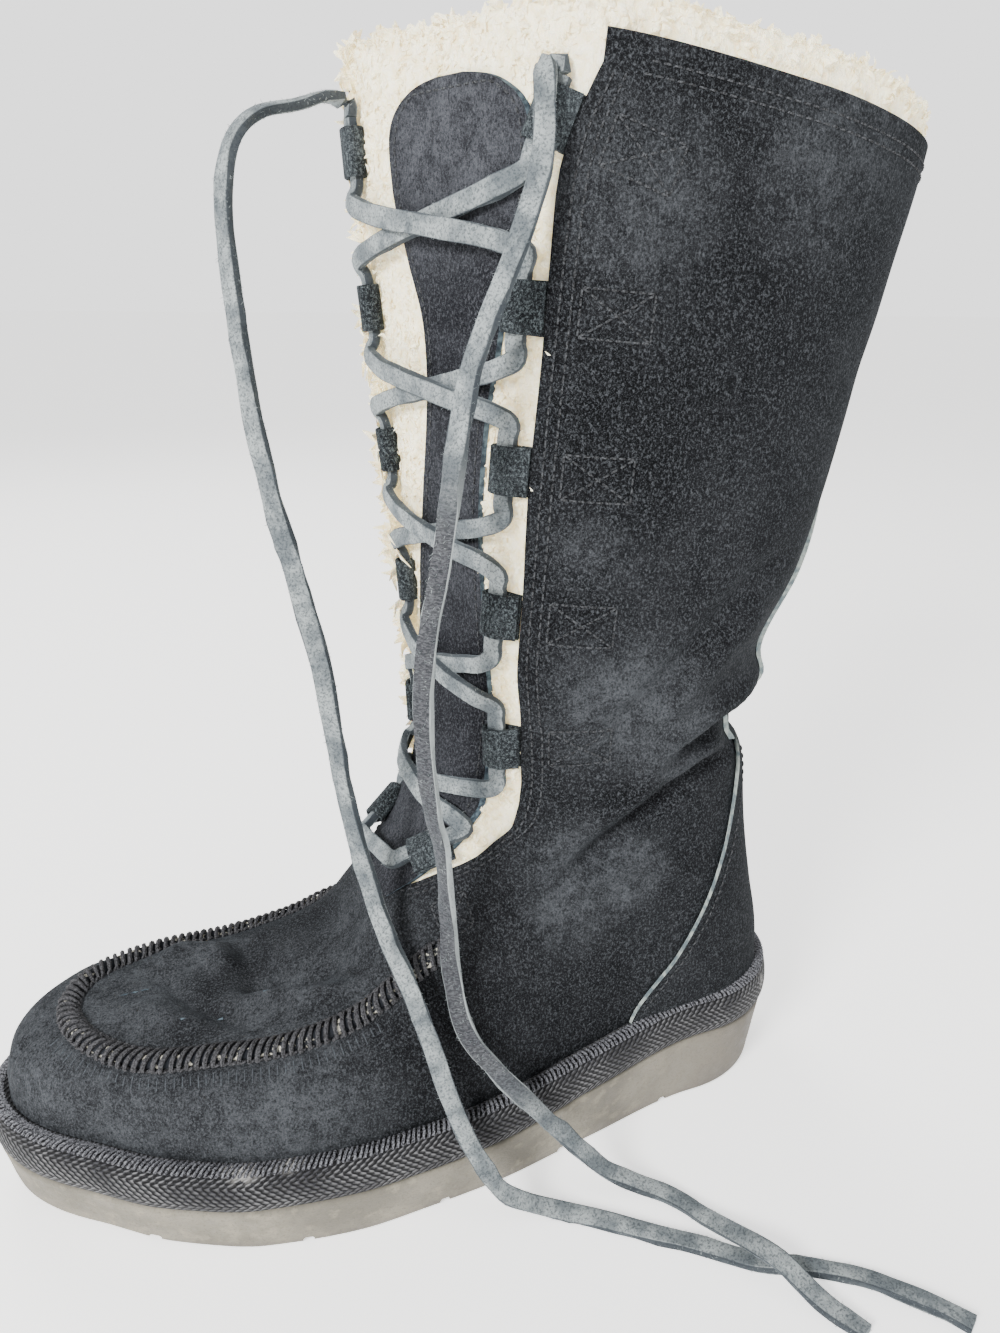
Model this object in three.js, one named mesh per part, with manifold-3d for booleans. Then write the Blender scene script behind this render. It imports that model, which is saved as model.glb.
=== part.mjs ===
// A left mukluk boot in suede with a fleece lining, laced through loops, standing empty on its sole.
// Millimetres. +X points to the toe, +Y to the outer side, +Z up. The origin is on the floor under the heel.
import * as THREE from "three";
import { mergeVertices } from "three/addons/utils/BufferGeometryUtils.js";
import Module from "manifold-3d";

const wasm = await Module();
wasm.setup();

// Sole
const soleLength = 282;
const heelOverhang = 38; // from the origin back to the edge of the heel
const ballWidth = 104;
const heelRound = 40; // length of the rounding at the heel, seen from above
const toeRound = 55;
const heelThickness = 28;
const ballThickness = 18.5;
const toeThinning = 2;
const toeSpring = 5.5;
const springLength = 79;
const soleDraft = 3; // the bottom's outline lies this far inside the top's
const soleEdgeRound = 1.5;
const grooveWidth = 3.5;
const grooveDepth = 2.4;
const grooveSpacing = 45;
const grooveCount = 5;

// Upper
const upperInset = 5.5; // from the edge of the sole in to the suede
const wallThickness = 2;
const sideBulge = 1.2;
const footSink = 12; // how far the lasted form runs on below the sole's top
const toeHeight = 65;
const ankleHeight = 145; // floor to the slouch fold at the back
const ankleWidth = 79;
const ankleFront = 146; // heel edge to the front of the ankle
const collarHeight = 336; // floor to the suede's top edge, at the middle of the shaft
const collarTilt = 0.155; // rise of that edge towards the front
const collarDepth = 160;
const collarWidth = 100;
const collarFront = 133; // heel edge to the front of the collar
const formReach = 38; // how far the form runs on above the collar

// Trim
const seatGap = 0.3; // between pieces that touch
const bandHeight = 15;
const bandBulge = 1.2;
const bandEdge = 1.6;
const counterThickness = 1.6;
const stayHalf = 7;
const seamHeight = 3.4;
const seamWidth = 7;
const insoleThickness = 6;
const liningThickness = 8;
const liningBottom = 158;
const fleeceStand = 9; // fleece above the suede's top edge

// Throat and tongue
const throatBottom = 99;
const throatHalf = 39; // half the opening at the collar
const throatDrift = 1; // outward shift of the opening's middle at the collar
const throatSlack = 0.7; // between the tongue's raised middle and the throat's edge
const tongueDrop = 1.2;
const tongueThickness = 8;
const tongueTuck = 4.5; // how far the tongue runs under each side
const tongueTop = 350;
const tongueBottom = 88;
const panelThickness = 1.4;
const panelHalf = 24;
const panelTop = 337;

// Lacing
const loopPairs = 6;
const lowestLoop = 108;
const highestLoop = 322;
const loopHeight = 14;
const loopLength = 12;
const loopLeather = 1.3;
const bottomLoopLift = 4; // the lowest pair lies over the hollow of the instep
const laceWidth = 5.5;
const laceThickness = 2.8;
const laceClearance = 0.5;
const cordRadius = 2; // of the free ends, drawn round
const cordSteps = 36;
const laceOut = 2; // how far the lace runs straight on outside each end of a loop
const bottomLift = 1.5; // more of that lift beside the lowest loops
const laceLift = 3.6; // from the form's surface out to the middle of a crossing lace

const toeTip = soleLength - heelOverhang;
const { lerp, clamp, smoothstep: smooth } = THREE.MathUtils;
const vec = (x, y, z) => new THREE.Vector3(x, y, z);

// A smooth curve through a table's rows that never overshoots them.
function curveThrough(rows, at, value) {
  const xs = rows.map((row) => row[at]);
  const ys = rows.map((row) => row[value]);
  const slopes = xs.slice(1).map((x, i) => (ys[i + 1] - ys[i]) / (x - xs[i]));
  const tangents = xs.map((_, i) => {
    if (i === 0) return slopes[0];
    if (i === slopes.length) return slopes[i - 1];
    const [before, after] = [slopes[i - 1], slopes[i]];
    return before * after <= 0 ? 0 : (2 * before * after) / (before + after);
  });
  return (x) => {
    const next = xs.findIndex((value) => value > x);
    const i = clamp(next < 0 ? slopes.length - 1 : next - 1, 0, slopes.length - 1);
    const width = xs[i + 1] - xs[i];
    const s = clamp((x - xs[i]) / width, 0, 1);
    const bend = tangents[i] * s * (1 - s) ** 2 - tangents[i + 1] * s * s * (1 - s);
    return ys[i] + (ys[i + 1] - ys[i]) * s * s * (3 - 2 * s) + width * bend;
  };
}

// The sole's outline from above. along: share of the length from the heel; half: share of half the ball width;
// swing: how far the middle line swings outwards, as a share of the ball width.
const outlineTable = [
  { along: 0, half: 0.7, swing: 0 },
  { along: 0.15, half: 0.7, swing: 0 },
  { along: 0.32, half: 0.8, swing: 0.02 },
  { along: 0.44, half: 0.9, swing: 0.028 },
  { along: 0.55, half: 0.965, swing: 0.018 },
  { along: 0.63, half: 1, swing: 0.004 },
  { along: 0.73, half: 0.98, swing: -0.03 },
  { along: 0.83, half: 0.885, swing: -0.09 },
  { along: 0.91, half: 0.81, swing: -0.14 },
  { along: 1, half: 0.77, swing: -0.15 },
];
const halfShare = curveThrough(outlineTable, "along", "half");
const swingShare = curveThrough(outlineTable, "along", "swing");

const roundedEnd = (distance, length) =>
  distance >= length ? 1 : Math.sqrt(Math.max(0, 1 - (1 - distance / length) ** 2));

// One place on the outline, drawn in by inset all round.
function outlineAt(along, inset) {
  const ends = roundedEnd(along * soleLength, heelRound) * roundedEnd((1 - along) * soleLength, toeRound);
  return {
    x: inset - heelOverhang + along * (soleLength - 2 * inset),
    middle: swingShare(along) * ballWidth,
    half: (halfShare(along) * (ballWidth / 2) - inset) * ends,
  };
}

const alongAt = (x, inset) => clamp((x + heelOverhang - inset) / (soleLength - 2 * inset), 0, 1);
const soleBottomAt = (x) => toeSpring * (Math.max(0, x - toeTip + springLength) / springLength) ** 1.7;

function soleTopAt(x) {
  const along = alongAt(x, 0);
  const wedge = 1 - smooth(along, 0.15, 0.55);
  return soleBottomAt(x) + lerp(ballThickness, heelThickness, wedge) - toeThinning * smooth(along, 0.6, 1);
}

// Upright sections of the foot. along: share of the sole's length; crown: share of the toe height.
const vampTable = [
  { along: 1, crown: 0.66, round: 3 },
  { along: 0.989, crown: 0.8, round: 3 },
  { along: 0.967, crown: 0.89, round: 3 },
  { along: 0.933, crown: 0.95, round: 3 },
  { along: 0.884, crown: 0.99, round: 3.1 },
  { along: 0.816, crown: 1, round: 3.1 },
  { along: 0.733, crown: 1.02, round: 3 },
  { along: 0.657, crown: 1.09, round: 2.9 },
  { along: 0.597, crown: 1.21, round: 2.7 },
];

// Sections that fan round from upright at the instep to level at the shaft. front and frontRise place the upper
// end, as shares of the ankle's front and height; back, a share of the sole's length, and backRise place the lower
// end; a row with no backRise ends at the sole.
const turnTable = [
  { front: 1.095, frontRise: 0.63, back: 0.532, half: 0.5, widest: 0.6, round: 2.5 },
  { front: 1.04, frontRise: 0.71, back: 0.433, half: 0.5, widest: 0.62, round: 2.6 },
  { front: 0.985, frontRise: 0.79, back: 0.312, half: 0.46, widest: 0.62, round: 2.7 },
  { front: 0.95, frontRise: 0.85, back: 0.184, half: 0.45, widest: 0.6, round: 2.8 },
  { front: 0.935, frontRise: 0.89, back: 0.085, half: 0.444, widest: 0.58, round: 2.9 },
  { front: 0.925, frontRise: 0.91, back: 0.03, half: 0.443, widest: 0.565, round: 2.9 },
  { front: 0.92, frontRise: 0.925, back: 0, backRise: 0.11, half: 0.443, widest: 0.55, round: 2.9 },
  { front: 0.912, frontRise: 0.95, back: 0.009, backRise: 0.36, half: 0.443, widest: 0.52, round: 2.9 },
  { front: 0.903, frontRise: 0.98, back: 0.029, backRise: 0.54, half: 0.45, widest: 0.5, round: 2.9 },
  { front: 0.895, frontRise: 1.02, back: 0.052, backRise: 0.745, half: 0.462, widest: 0.5, round: 3 },
  { front: 0.89, frontRise: 1.055, back: 0.064, backRise: 0.9, half: 0.48, widest: 0.5, round: 3 },
  { front: 0.885, frontRise: 1.08, back: 0.075, backRise: 0.955, half: 0.49, widest: 0.5, round: 3 },
  { front: 0.882, frontRise: 1.1, back: 0.092, backRise: 0.995, half: 0.5, widest: 0.5, round: 3 },
  { front: 0.88, frontRise: 1.14, back: 0.075, backRise: 1.055, half: 0.52, widest: 0.5, round: 3.1 },
];

// Level sections of the shaft. rise: share of the way from the ankle to the collar; front and back: how far the
// section ends outside the collar's own front and inside its own back, as shares of its depth.
const shaftTable = [
  { rise: 0.17, front: -0.025, back: 0.29, half: 0.445, round: 3.2 },
  { rise: 0.28, front: -0.02, back: 0.22, half: 0.455, round: 3.4 },
  { rise: 0.42, front: -0.012, back: 0.168, half: 0.47, round: 3.7 },
  { rise: 0.57, front: -0.006, back: 0.125, half: 0.48, round: 4 },
  { rise: 0.76, front: 0, back: 0.07, half: 0.49, round: 4.3 },
  { rise: 0.94, front: 0, back: 0.0125, half: 0.5, round: 4.6 },
];

// How far the front leans towards the toe on its inner side, per millimetre across.
const skewTable = [
  { height: 70, skew: 0 },
  { height: 105, skew: 0.16 },
  { height: 140, skew: 0.25 },
  { height: 178, skew: 0.22 },
  { height: 226, skew: 0.28 },
  { height: 275, skew: 0.36 },
  { height: 330, skew: 0.46 },
];
const skewAt = curveThrough(skewTable, "height", "skew");

// Every section as the two ends of its middle line and the shape of its sides.
function sectionRows() {
  const lowestZ = (x) => soleTopAt(x) - footSink;
  const placed = (share) => share * (soleLength - 2 * upperInset) + upperInset - heelOverhang;
  const foot = vampTable.map(({ along, crown, round }) => {
    const x = placed(along);
    return { topX: x, topZ: crown * toeHeight, lowX: x, lowZ: lowestZ(x), half: 0, widest: 0.47, round, low: 2.5 };
  });
  const turn = turnTable.map((row) => {
    const lowX = placed(row.back);
    return {
      topX: row.front * ankleFront - heelOverhang,
      topZ: row.frontRise * ankleHeight,
      lowX,
      lowZ: row.backRise === undefined ? lowestZ(lowX) : row.backRise * ankleHeight,
      half: row.half * ankleWidth,
      widest: row.widest,
      round: row.round,
      low: 2.5,
    };
  });
  const frontX = collarFront - heelOverhang;
  const shaft = shaftTable.map((row) => {
    const z = lerp(ankleHeight, collarHeight, row.rise);
    return {
      topX: frontX + row.front * collarDepth,
      topZ: z,
      lowX: frontX - (1 - row.back) * collarDepth,
      lowZ: z,
      half: row.half * collarWidth,
      widest: 0.5,
      round: row.round,
      low: 2.3,
    };
  });
  const last = shaft.at(-1);
  const top = collarHeight + formReach;
  shaft.push({ ...last, topZ: top, lowZ: top, lowX: last.lowX - formReach / 5 });
  return [...foot, ...turn, ...shaft].map((row, station) => ({ station, ...row }));
}

const rows = sectionRows();
const lastStation = rows.length - 1;
const heelStation = vampTable.length + turnTable.findIndex((row) => row.backRise !== undefined);
const columns = ["topX", "topZ", "lowX", "lowZ", "half", "widest", "round", "low"];
const columnCurves = columns.map((name) => [name, curveThrough(rows, "station", name)]);

function sectionAt(station) {
  const section = Object.fromEntries(columnCurves.map(([name, curve]) => [name, curve(station)]));
  const { half, middle } = outlineAt(alongAt(section.lowX, upperInset), upperInset);
  section.end = station < heelStation ? half : 0;
  section.half = Math.max(section.half, section.end + Math.min(sideBulge, section.end));
  section.lowMiddle = middle;
  section.topMiddle = middle * (1 - smooth(station, vampTable.length - 2, heelStation));
  return section;
}

// A point of one side of a section. turn runs from 0 at the top to 1 at the widest place and 2 at the low end.
function sidePoint(section, turn, side) {
  const { topX, topZ, lowX, lowZ, half, widest, round, low, end } = section;
  const angle = ((turn <= 1 ? turn : turn - 1) * Math.PI) / 2;
  let share = widest * (1 - Math.cos(angle) ** (2 / round));
  let reach = half * Math.sin(angle) ** (2 / round);
  if (turn > 1) {
    const down = Math.sin(angle) ** (2 / low);
    share = widest + (1 - widest) * down;
    reach = Math.max(0, half ** low - (half ** low - end ** low) * down ** low) ** (1 / low);
  }
  const y = lerp(section.topMiddle, section.lowMiddle, share) + side * reach;
  const z = lerp(topZ, lowZ, share);
  const lean = skewAt(z) * (1 - smooth(share, 0.15, 0.75));
  return vec(lerp(topX, lowX, share) - lean * y, y, z);
}

// Indexed triangles as a closed solid, and back
function solidFrom(geometry) {
  const bare = geometry.clone();
  bare.deleteAttribute("normal");
  bare.deleteAttribute("uv");
  const merged = mergeVertices(bare, 1e-3);
  const triangles = [];
  for (let i = 0; i < merged.index.count; i += 3) {
    const [a, b, c] = [0, 1, 2].map((k) => merged.index.getX(i + k));
    if (a !== b && b !== c && c !== a) triangles.push(a, b, c);
  }
  const mesh = new wasm.Mesh({
    numProp: 3,
    vertProperties: merged.attributes.position.array,
    triVerts: new Uint32Array(triangles),
  });
  return new wasm.Manifold(mesh);
}

function geometryOf(solid) {
  const mesh = solid.getMesh();
  const geometry = new THREE.BufferGeometry();
  geometry.setAttribute("position", new THREE.BufferAttribute(mesh.vertProperties, 3));
  geometry.setIndex(new THREE.BufferAttribute(mesh.triVerts, 1));
  return geometry;
}

// A closed skin through rings of points. Each ring runs along one edge and back along the other.
function lofted(rings) {
  const count = rings[0].length;
  const index = [];
  for (let i = 0; i + 1 < rings.length; i++) {
    for (let j = 0; j < count; j++) {
      const [a, b] = [i * count + j, i * count + ((j + 1) % count)];
      index.push(a, b, a + count, b, b + count, a + count);
    }
  }
  const last = (rings.length - 1) * count;
  for (let j = 0; j + 1 < count / 2; j++) {
    const [a, b, c, d] = [j, j + 1, count - 1 - j, count - 2 - j];
    index.push(a, c, b, b, c, d, last + a, last + b, last + c, last + b, last + d, last + c);
  }
  const geometry = new THREE.BufferGeometry();
  geometry.setAttribute("position", new THREE.Float32BufferAttribute(rings.flat().flatMap((p) => p.toArray()), 3));
  geometry.setIndex(index);
  return mergeVertices(geometry, 1e-3);
}

// A straight solid with a drawn outline: [y, z] along x, [z, x] along y or [x, y] along z.
const facing = {
  x: new THREE.Matrix4().makeBasis(vec(0, 1, 0), vec(0, 0, 1), vec(1, 0, 0)),
  y: new THREE.Matrix4().makeBasis(vec(0, 0, 1), vec(1, 0, 0), vec(0, 1, 0)),
  z: new THREE.Matrix4(),
};
function prism(axis, outline, from, to) {
  const shape = new THREE.Shape(outline.map(([u, v]) => new THREE.Vector2(u, v)));
  const geometry = new THREE.ExtrudeGeometry(shape, { depth: to - from, bevelEnabled: false });
  geometry.translate(0, 0, from);
  geometry.applyMatrix4(facing[axis]);
  return solidFrom(geometry);
}

// The form
const stations = [];
for (let i = 0; i < lastStation; i++) stations.push(i, ...(i >= 5 && i < vampTable.length + 2 ? [i + 0.5] : []));
stations.push(lastStation);
const turns = [0, 0.1, 0.25, 0.42, 0.6, 0.8, 1, 1.25, 1.5, 1.75, 2];
const formGeometry = lofted(
  stations.map((station) => {
    const section = sectionAt(station);
    const outer = turns.map((turn) => sidePoint(section, turn, 1));
    const inner = turns.map((turn) => sidePoint(section, turn, -1)).reverse();
    return [...outer, ...inner];
  }),
);
formGeometry.computeVertexNormals();

function form(offset) {
  const moved = formGeometry.clone();
  const { position, normal } = moved.attributes;
  for (let i = 0; i < position.count; i++) {
    const n = vec().fromBufferAttribute(normal, i);
    const p = vec().fromBufferAttribute(position, i).addScaledVector(n, offset);
    position.setXYZ(i, p.x, p.y, p.z);
  }
  return solidFrom(moved);
}

const caster = new THREE.Raycaster();
const formMesh = new THREE.Mesh(formGeometry, new THREE.MeshStandardMaterial({ side: THREE.DoubleSide }));

// The form's front at a place across and up: the point there, and the way out of the surface.
function frontOf(y, z) {
  caster.set(vec(400, y, z), vec(-1, 0, 0));
  const [hit] = caster.intersectObject(formMesh);
  return { point: hit.point.clone(), out: hit.face.normal.clone() };
}

// Sole
const around = [];
for (let i = 0; i <= 28; i++) around.push((1 - Math.cos((i / 28) * Math.PI)) / 2);
function soleRing(inset, height) {
  const edge = (along, side) => {
    const { x, middle, half } = outlineAt(along, inset);
    return vec(x, middle + side * half, height(x));
  };
  return [...around.map((along) => edge(along, -1)), ...around.map((along) => edge(along, 1)).reverse()];
}

function makeSole() {
  const lowInset = soleDraft + soleEdgeRound;
  let sole = solidFrom(
    lofted([
      soleRing(lowInset, soleBottomAt),
      soleRing(soleDraft, (x) => soleBottomAt(x) + soleEdgeRound),
      soleRing(0, (x) => soleTopAt(x) - soleEdgeRound),
      soleRing(soleEdgeRound, soleTopAt),
    ]),
  );
  for (let i = 1; i <= grooveCount; i++) {
    const x = toeTip - i * grooveSpacing;
    const z = soleBottomAt(x) + grooveDepth;
    const outline = [
      [-5, x - grooveWidth / 2],
      [z, x - grooveWidth / 2],
      [z, x + grooveWidth / 2],
      [-5, x + grooveWidth / 2],
    ];
    sole = sole.subtract(prism("y", outline, -ballWidth, ballWidth));
  }
  return sole;
}

// A block that follows the sole's top, from one height above it up to another.
function layer(from, to) {
  const xs = [];
  for (let x = -heelOverhang - 60; x <= toeTip + 10; x += 10) xs.push(x);
  const lower = xs.map((x) => [typeof from === "number" ? soleTopAt(x) + from : -20, x]);
  const upper = xs.map((x) => [typeof to === "number" ? soleTopAt(x) + to : 500, x]).reverse();
  return prism("y", [...lower, ...upper], -ballWidth, ballWidth);
}

function makeBand() {
  const level = (height) => (x) => soleTopAt(x) + seatGap + height;
  const block = solidFrom(
    lofted([
      soleRing(0.4, level(0)),
      soleRing(-bandBulge, level(bandHeight * 0.3)),
      soleRing(-bandBulge / 2, level(bandHeight * 0.72)),
      soleRing(bandEdge, level(bandHeight)),
    ]),
  );
  return block.subtract(form(seatGap));
}

// Throat
const throatTable = [
  { height: 0, half: 0.28, drift: 0 },
  { height: 0.025, half: 0.49, drift: 0 },
  { height: 0.06, half: 0.63, drift: 0 },
  { height: 0.16, half: 0.7, drift: 0 },
  { height: 0.33, half: 0.77, drift: 0.05 },
  { height: 0.53, half: 0.86, drift: 0.4 },
  { height: 0.73, half: 0.93, drift: 0.6 },
  { height: 1, half: 1, drift: 1 },
];
const throatShare = curveThrough(throatTable, "height", "half");
const driftShare = curveThrough(throatTable, "height", "drift");
const throatPlace = (z) => clamp((z - throatBottom) / (collarHeight - throatBottom), 0, 1);
const throatEdge = (z, side) =>
  driftShare(throatPlace(z)) * throatDrift + side * throatShare(throatPlace(z)) * throatHalf;

// A block through the front in the throat's outline, widened all round, up to a height.
function throatBlock(widening, top) {
  const heights = throatTable.map((row) => lerp(throatBottom, collarHeight, row.height));
  if (top > collarHeight) heights.push(top);
  const edge = (side) =>
    heights.map((z, i) => [throatEdge(z, side) + side * widening, i === 0 ? z - widening : z]);
  return prism("x", [...edge(1), ...edge(-1).reverse()], 30, 220);
}

// Everything in front of the throat's two edges, set back behind them.
function frontBlock(setback) {
  const heights = [80, ...throatTable.map((row) => lerp(throatBottom, collarHeight, row.height)), 500];
  const rings = heights.map((height) => {
    const z = clamp(height, throatBottom, collarHeight);
    const [outer, inner] = [1, -1].map((side) => frontOf(throatEdge(z, side), z).point);
    const lean = (outer.x - inner.x) / (outer.y - inner.y);
    const at = (y) => outer.x + lean * (y - outer.y) - setback;
    return [vec(at(75), 75, height), vec(at(-75), -75, height), vec(220, -75, height), vec(220, 75, height)];
  });
  return solidFrom(lofted(rings));
}

// Everything below a plane that rises to the front like the collar, at a height above it.
function belowCollar(height) {
  const middle = collarFront - heelOverhang - collarDepth / 2;
  const rise = (x) => collarHeight + height + collarTilt * (x - middle);
  const outline = [
    [-20, -150],
    [-20, 300],
    [rise(300), 300],
    [rise(-150), -150],
  ].reverse();
  return prism("y", outline, -120, 120);
}

function makeUpper() {
  return form(0)
    .subtract(form(-wallThickness))
    .intersect(layer(seatGap))
    .intersect(belowCollar(0))
    .subtract(throatBlock(0, 500));
}

const innerDepth = wallThickness + seatGap;
const makeInsole = () => form(-innerDepth).intersect(layer(seatGap, seatGap + insoleThickness));

function makeLining() {
  const above = prism("z", [[-200, -200], [300, -200], [300, 200], [-200, 200]], liningBottom, 500);
  return form(-innerDepth)
    .subtract(form(-innerDepth - liningThickness))
    .intersect(above)
    .intersect(belowCollar(fleeceStand))
    .subtract(frontBlock(tongueThickness + 2 * innerDepth + seatGap));
}

function makeTongue() {
  const back = tongueThickness + 2 * innerDepth;
  const within = prism("z", [[-100, -100], [300, -100], [300, 100], [-100, 100]], tongueBottom, tongueTop);
  const core = form(-innerDepth).translate([-tongueThickness, 0, 0]);
  const middle = form(-tongueDrop).intersect(throatBlock(-throatSlack, tongueTop));
  const wings = form(-innerDepth).intersect(throatBlock(tongueTuck, tongueTop));
  return middle.add(wings).subtract(core).intersect(within).intersect(frontBlock(back));
}

// The suede panel on the tongue: half width as a share of panelHalf, height as a share of its length.
const panelTable = [
  { height: 0, half: 0.3 },
  { height: 0.06, half: 0.34 },
  { height: 0.12, half: 0.55 },
  { height: 0.3, half: 0.7 },
  { height: 0.55, half: 0.74 },
  { height: 0.7, half: 0.8 },
  { height: 0.82, half: 0.95 },
  { height: 0.9, half: 1 },
  { height: 0.955, half: 0.97 },
  { height: 0.985, half: 0.8 },
  { height: 1, half: 0.45 },
];
const panelBottom = throatBottom + 4;
function makePanel() {
  const edge = (side) =>
    panelTable.map((row) => {
      const z = lerp(panelBottom, panelTop, row.height);
      return [driftShare(throatPlace(z)) * throatDrift + side * row.half * panelHalf, z];
    });
  const outline = prism("x", [...edge(1), ...edge(-1).reverse()], 30, 220);
  const base = -tongueDrop + seatGap;
  return form(base + panelThickness).subtract(form(base)).intersect(outline);
}

// Heel counter and back stay. The counter's front edge as shares of the ankle height up and from the heel edge.
const counterEdge = [
  { rise: 0.2, out: 0.53 },
  { rise: 0.3, out: 0.505 },
  { rise: 0.45, out: 0.385 },
  { rise: 0.6, out: 0.3 },
  { rise: 0.8, out: 0.235 },
  { rise: 0.965, out: 0.205 },
];
const shell = () => form(seatGap + counterThickness).subtract(form(seatGap));

function makeCounter() {
  const edge = counterEdge.map(({ rise, out }) => [rise * ankleHeight, out * ankleHeight - heelOverhang]);
  const back = -heelOverhang - 20;
  const outline = prism("y", [[edge[0][0], back], ...edge, [edge.at(-1)[0], back]].reverse(), -80, 80);
  return shell().intersect(outline).intersect(layer(bandHeight + 2 * seatGap));
}

function makeStay() {
  const low = ankleHeight * 0.965 + seatGap;
  const outline = prism("x", [[-stayHalf, low], [stayHalf, low], [stayHalf, 500], [-stayHalf, 500]], -150, 20);
  return shell().intersect(outline).intersect(belowCollar(0));
}

// The raised seam round the plug. along: share of the sole's length; across: share of the ball width.
const seamTable = [
  { along: 0.5, across: 0.34 },
  { along: 0.58, across: 0.34 },
  { along: 0.66, across: 0.32 },
  { along: 0.75, across: 0.26 },
  { along: 0.83, across: 0.185 },
  { along: 0.885, across: 0.05 },
  { along: 0.905, across: -0.1 },
  { along: 0.89, across: -0.22 },
  { along: 0.84, across: -0.315 },
  { along: 0.76, across: -0.37 },
  { along: 0.67, across: -0.39 },
  { along: 0.58, across: -0.375 },
  { along: 0.535, across: -0.35 },
];
function seamLine() {
  const knots = seamTable.map((row) => vec(row.along * soleLength - heelOverhang, row.across * ballWidth, 0));
  return new THREE.CatmullRomCurve3(knots, false, "centripetal").getSpacedPoints(26);
}
function makeSeam() {
  const line = seamLine();
  const edge = (side) =>
    line.map((point, i) => {
      const along = line[Math.min(i + 1, line.length - 1)].clone().sub(line[Math.max(i - 1, 0)]).normalize();
      return [point.x - (along.y * side * seamWidth) / 2, point.y + (along.x * side * seamWidth) / 2];
    });
  const strip = prism("z", [...edge(1), ...edge(-1).reverse()], toeHeight * 0.8, 200);
  return form(seatGap + seamHeight).subtract(form(seatGap)).intersect(strip);
}

// Loops: a strap folded round the lace, drawn in the plane across it, its root against the throat's edge.
const slotDepth = laceThickness + 2 * laceClearance;
const slotLength = laceWidth + 2 * laceClearance;
function loopFrame(level, side) {
  const share = level / (loopPairs - 1);
  const z = lerp(lowestLoop, highestLoop, share);
  const y = throatEdge(z, side);
  const { point } = frontOf(y, z);
  const step = 4;
  const upper = frontOf(throatEdge(z + step, side), z + step).point;
  const lower = frontOf(throatEdge(z - step, side), z - step).point;
  const up = upper.sub(lower).normalize();
  const inward = frontOf(y - side * loopLength, z).point.sub(point);
  inward.addScaledVector(up, -inward.dot(up)).normalize();
  const out = vec().crossVectors(inward, up).normalize();
  if (out.x < 0) out.negate();
  return { point, up, inward, out };
}

function makeLoop(level, side) {
  const { point, up, inward, out } = loopFrame(level, side);
  const base = -tongueDrop + seatGap;
  const low = base + (level === 0 ? bottomLoopLift : 0);
  const high = low + 2 * loopLeather + slotDepth;
  const bend = loopLeather + slotDepth / 2;
  const outline = [
    [-1, base - 1],
    [loopLength - bend / 2, base - 1],
    [loopLength, low + bend / 2],
    [loopLength, high - bend / 2],
    [loopLength - bend / 2, high],
    [loopLeather * 2.2, high],
    [seatGap, low + 2 * loopLeather],
    [-1, low + 2 * loopLeather],
  ];
  const end = loopLength - loopLeather;
  const slot = [
    [end - slotLength, low + loopLeather],
    [end, low + loopLeather],
    [end, high - loopLeather],
    [end - slotLength, high - loopLeather],
  ];
  const drawn = (points) => {
    const placed = points.map(([u, v]) => new THREE.Vector2(side * u, v));
    return side > 0 ? placed : placed.reverse();
  };
  const shape = new THREE.Shape(drawn(outline));
  shape.holes.push(new THREE.Path(drawn(slot)));
  const geometry = new THREE.ExtrudeGeometry(shape, { depth: loopHeight, bevelEnabled: false });
  geometry.translate(0, 0, -loopHeight / 2);
  const across = inward.clone().multiplyScalar(side);
  geometry.applyMatrix4(new THREE.Matrix4().makeBasis(across, out, vec().crossVectors(across, out)));
  geometry.translate(...point.toArray());
  return solidFrom(geometry).intersect(throatBlock(-seatGap, 500)).subtract(form(base));
}

// The lace's middle inside a loop, this far up from the loop's own middle.
function laceInLoop(level, side, rise) {
  const { point, up, inward, out } = loopFrame(level, side);
  const middle = loopLength - loopLeather - slotLength / 2;
  const base = -tongueDrop + seatGap + (level === 0 ? bottomLoopLift : 0);
  const lift = base + loopLeather + slotDepth / 2;
  const place = point.clone().addScaledVector(inward, middle).addScaledVector(out, lift);
  return { place: place.addScaledVector(up, rise), out };
}

// The lace just outside a loop, lifted clear of the tongue where that bulges.
function laceBeside(level, side, rise) {
  const knot = laceInLoop(level, side, rise);
  const { point, out } = frontOf(knot.place.y, knot.place.z);
  const lifted = point.addScaledVector(out, laceLift + (level === 0 ? bottomLift : 0));
  return lifted.x > knot.place.x ? { place: lifted, out } : knot;
}

// Waypoints of one strand from a top loop down to the middle of the bottom bar.
function strand(startSide) {
  const knots = [];
  for (let level = loopPairs - 1; level >= 0; level--) {
    const side = (loopPairs - 1 - level) % 2 === 0 ? startSide : -startSide;
    const half = loopHeight / 2 + laceOut;
    knots.push(laceInLoop(level, side, half), laceInLoop(level, side, 0), laceInLoop(level, side, -half));
    const from = laceBeside(level, side, -half - laceWidth * 0.7);
    if (level > 0) {
      const to = laceBeside(level - 1, -side, half + laceWidth * 0.7);
      knots.push(from);
      for (const share of [0.17, 0.33, 0.5, 0.67, 0.83]) {
        const flat = from.place.clone().lerp(to.place, share);
        const { point, out } = frontOf(flat.y, flat.z);
        knots.push({ place: point.addScaledVector(out, laceLift), out });
      }
      knots.push(to);
    } else {
      knots.push(from);
    }
  }
  return knots;
}

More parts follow.
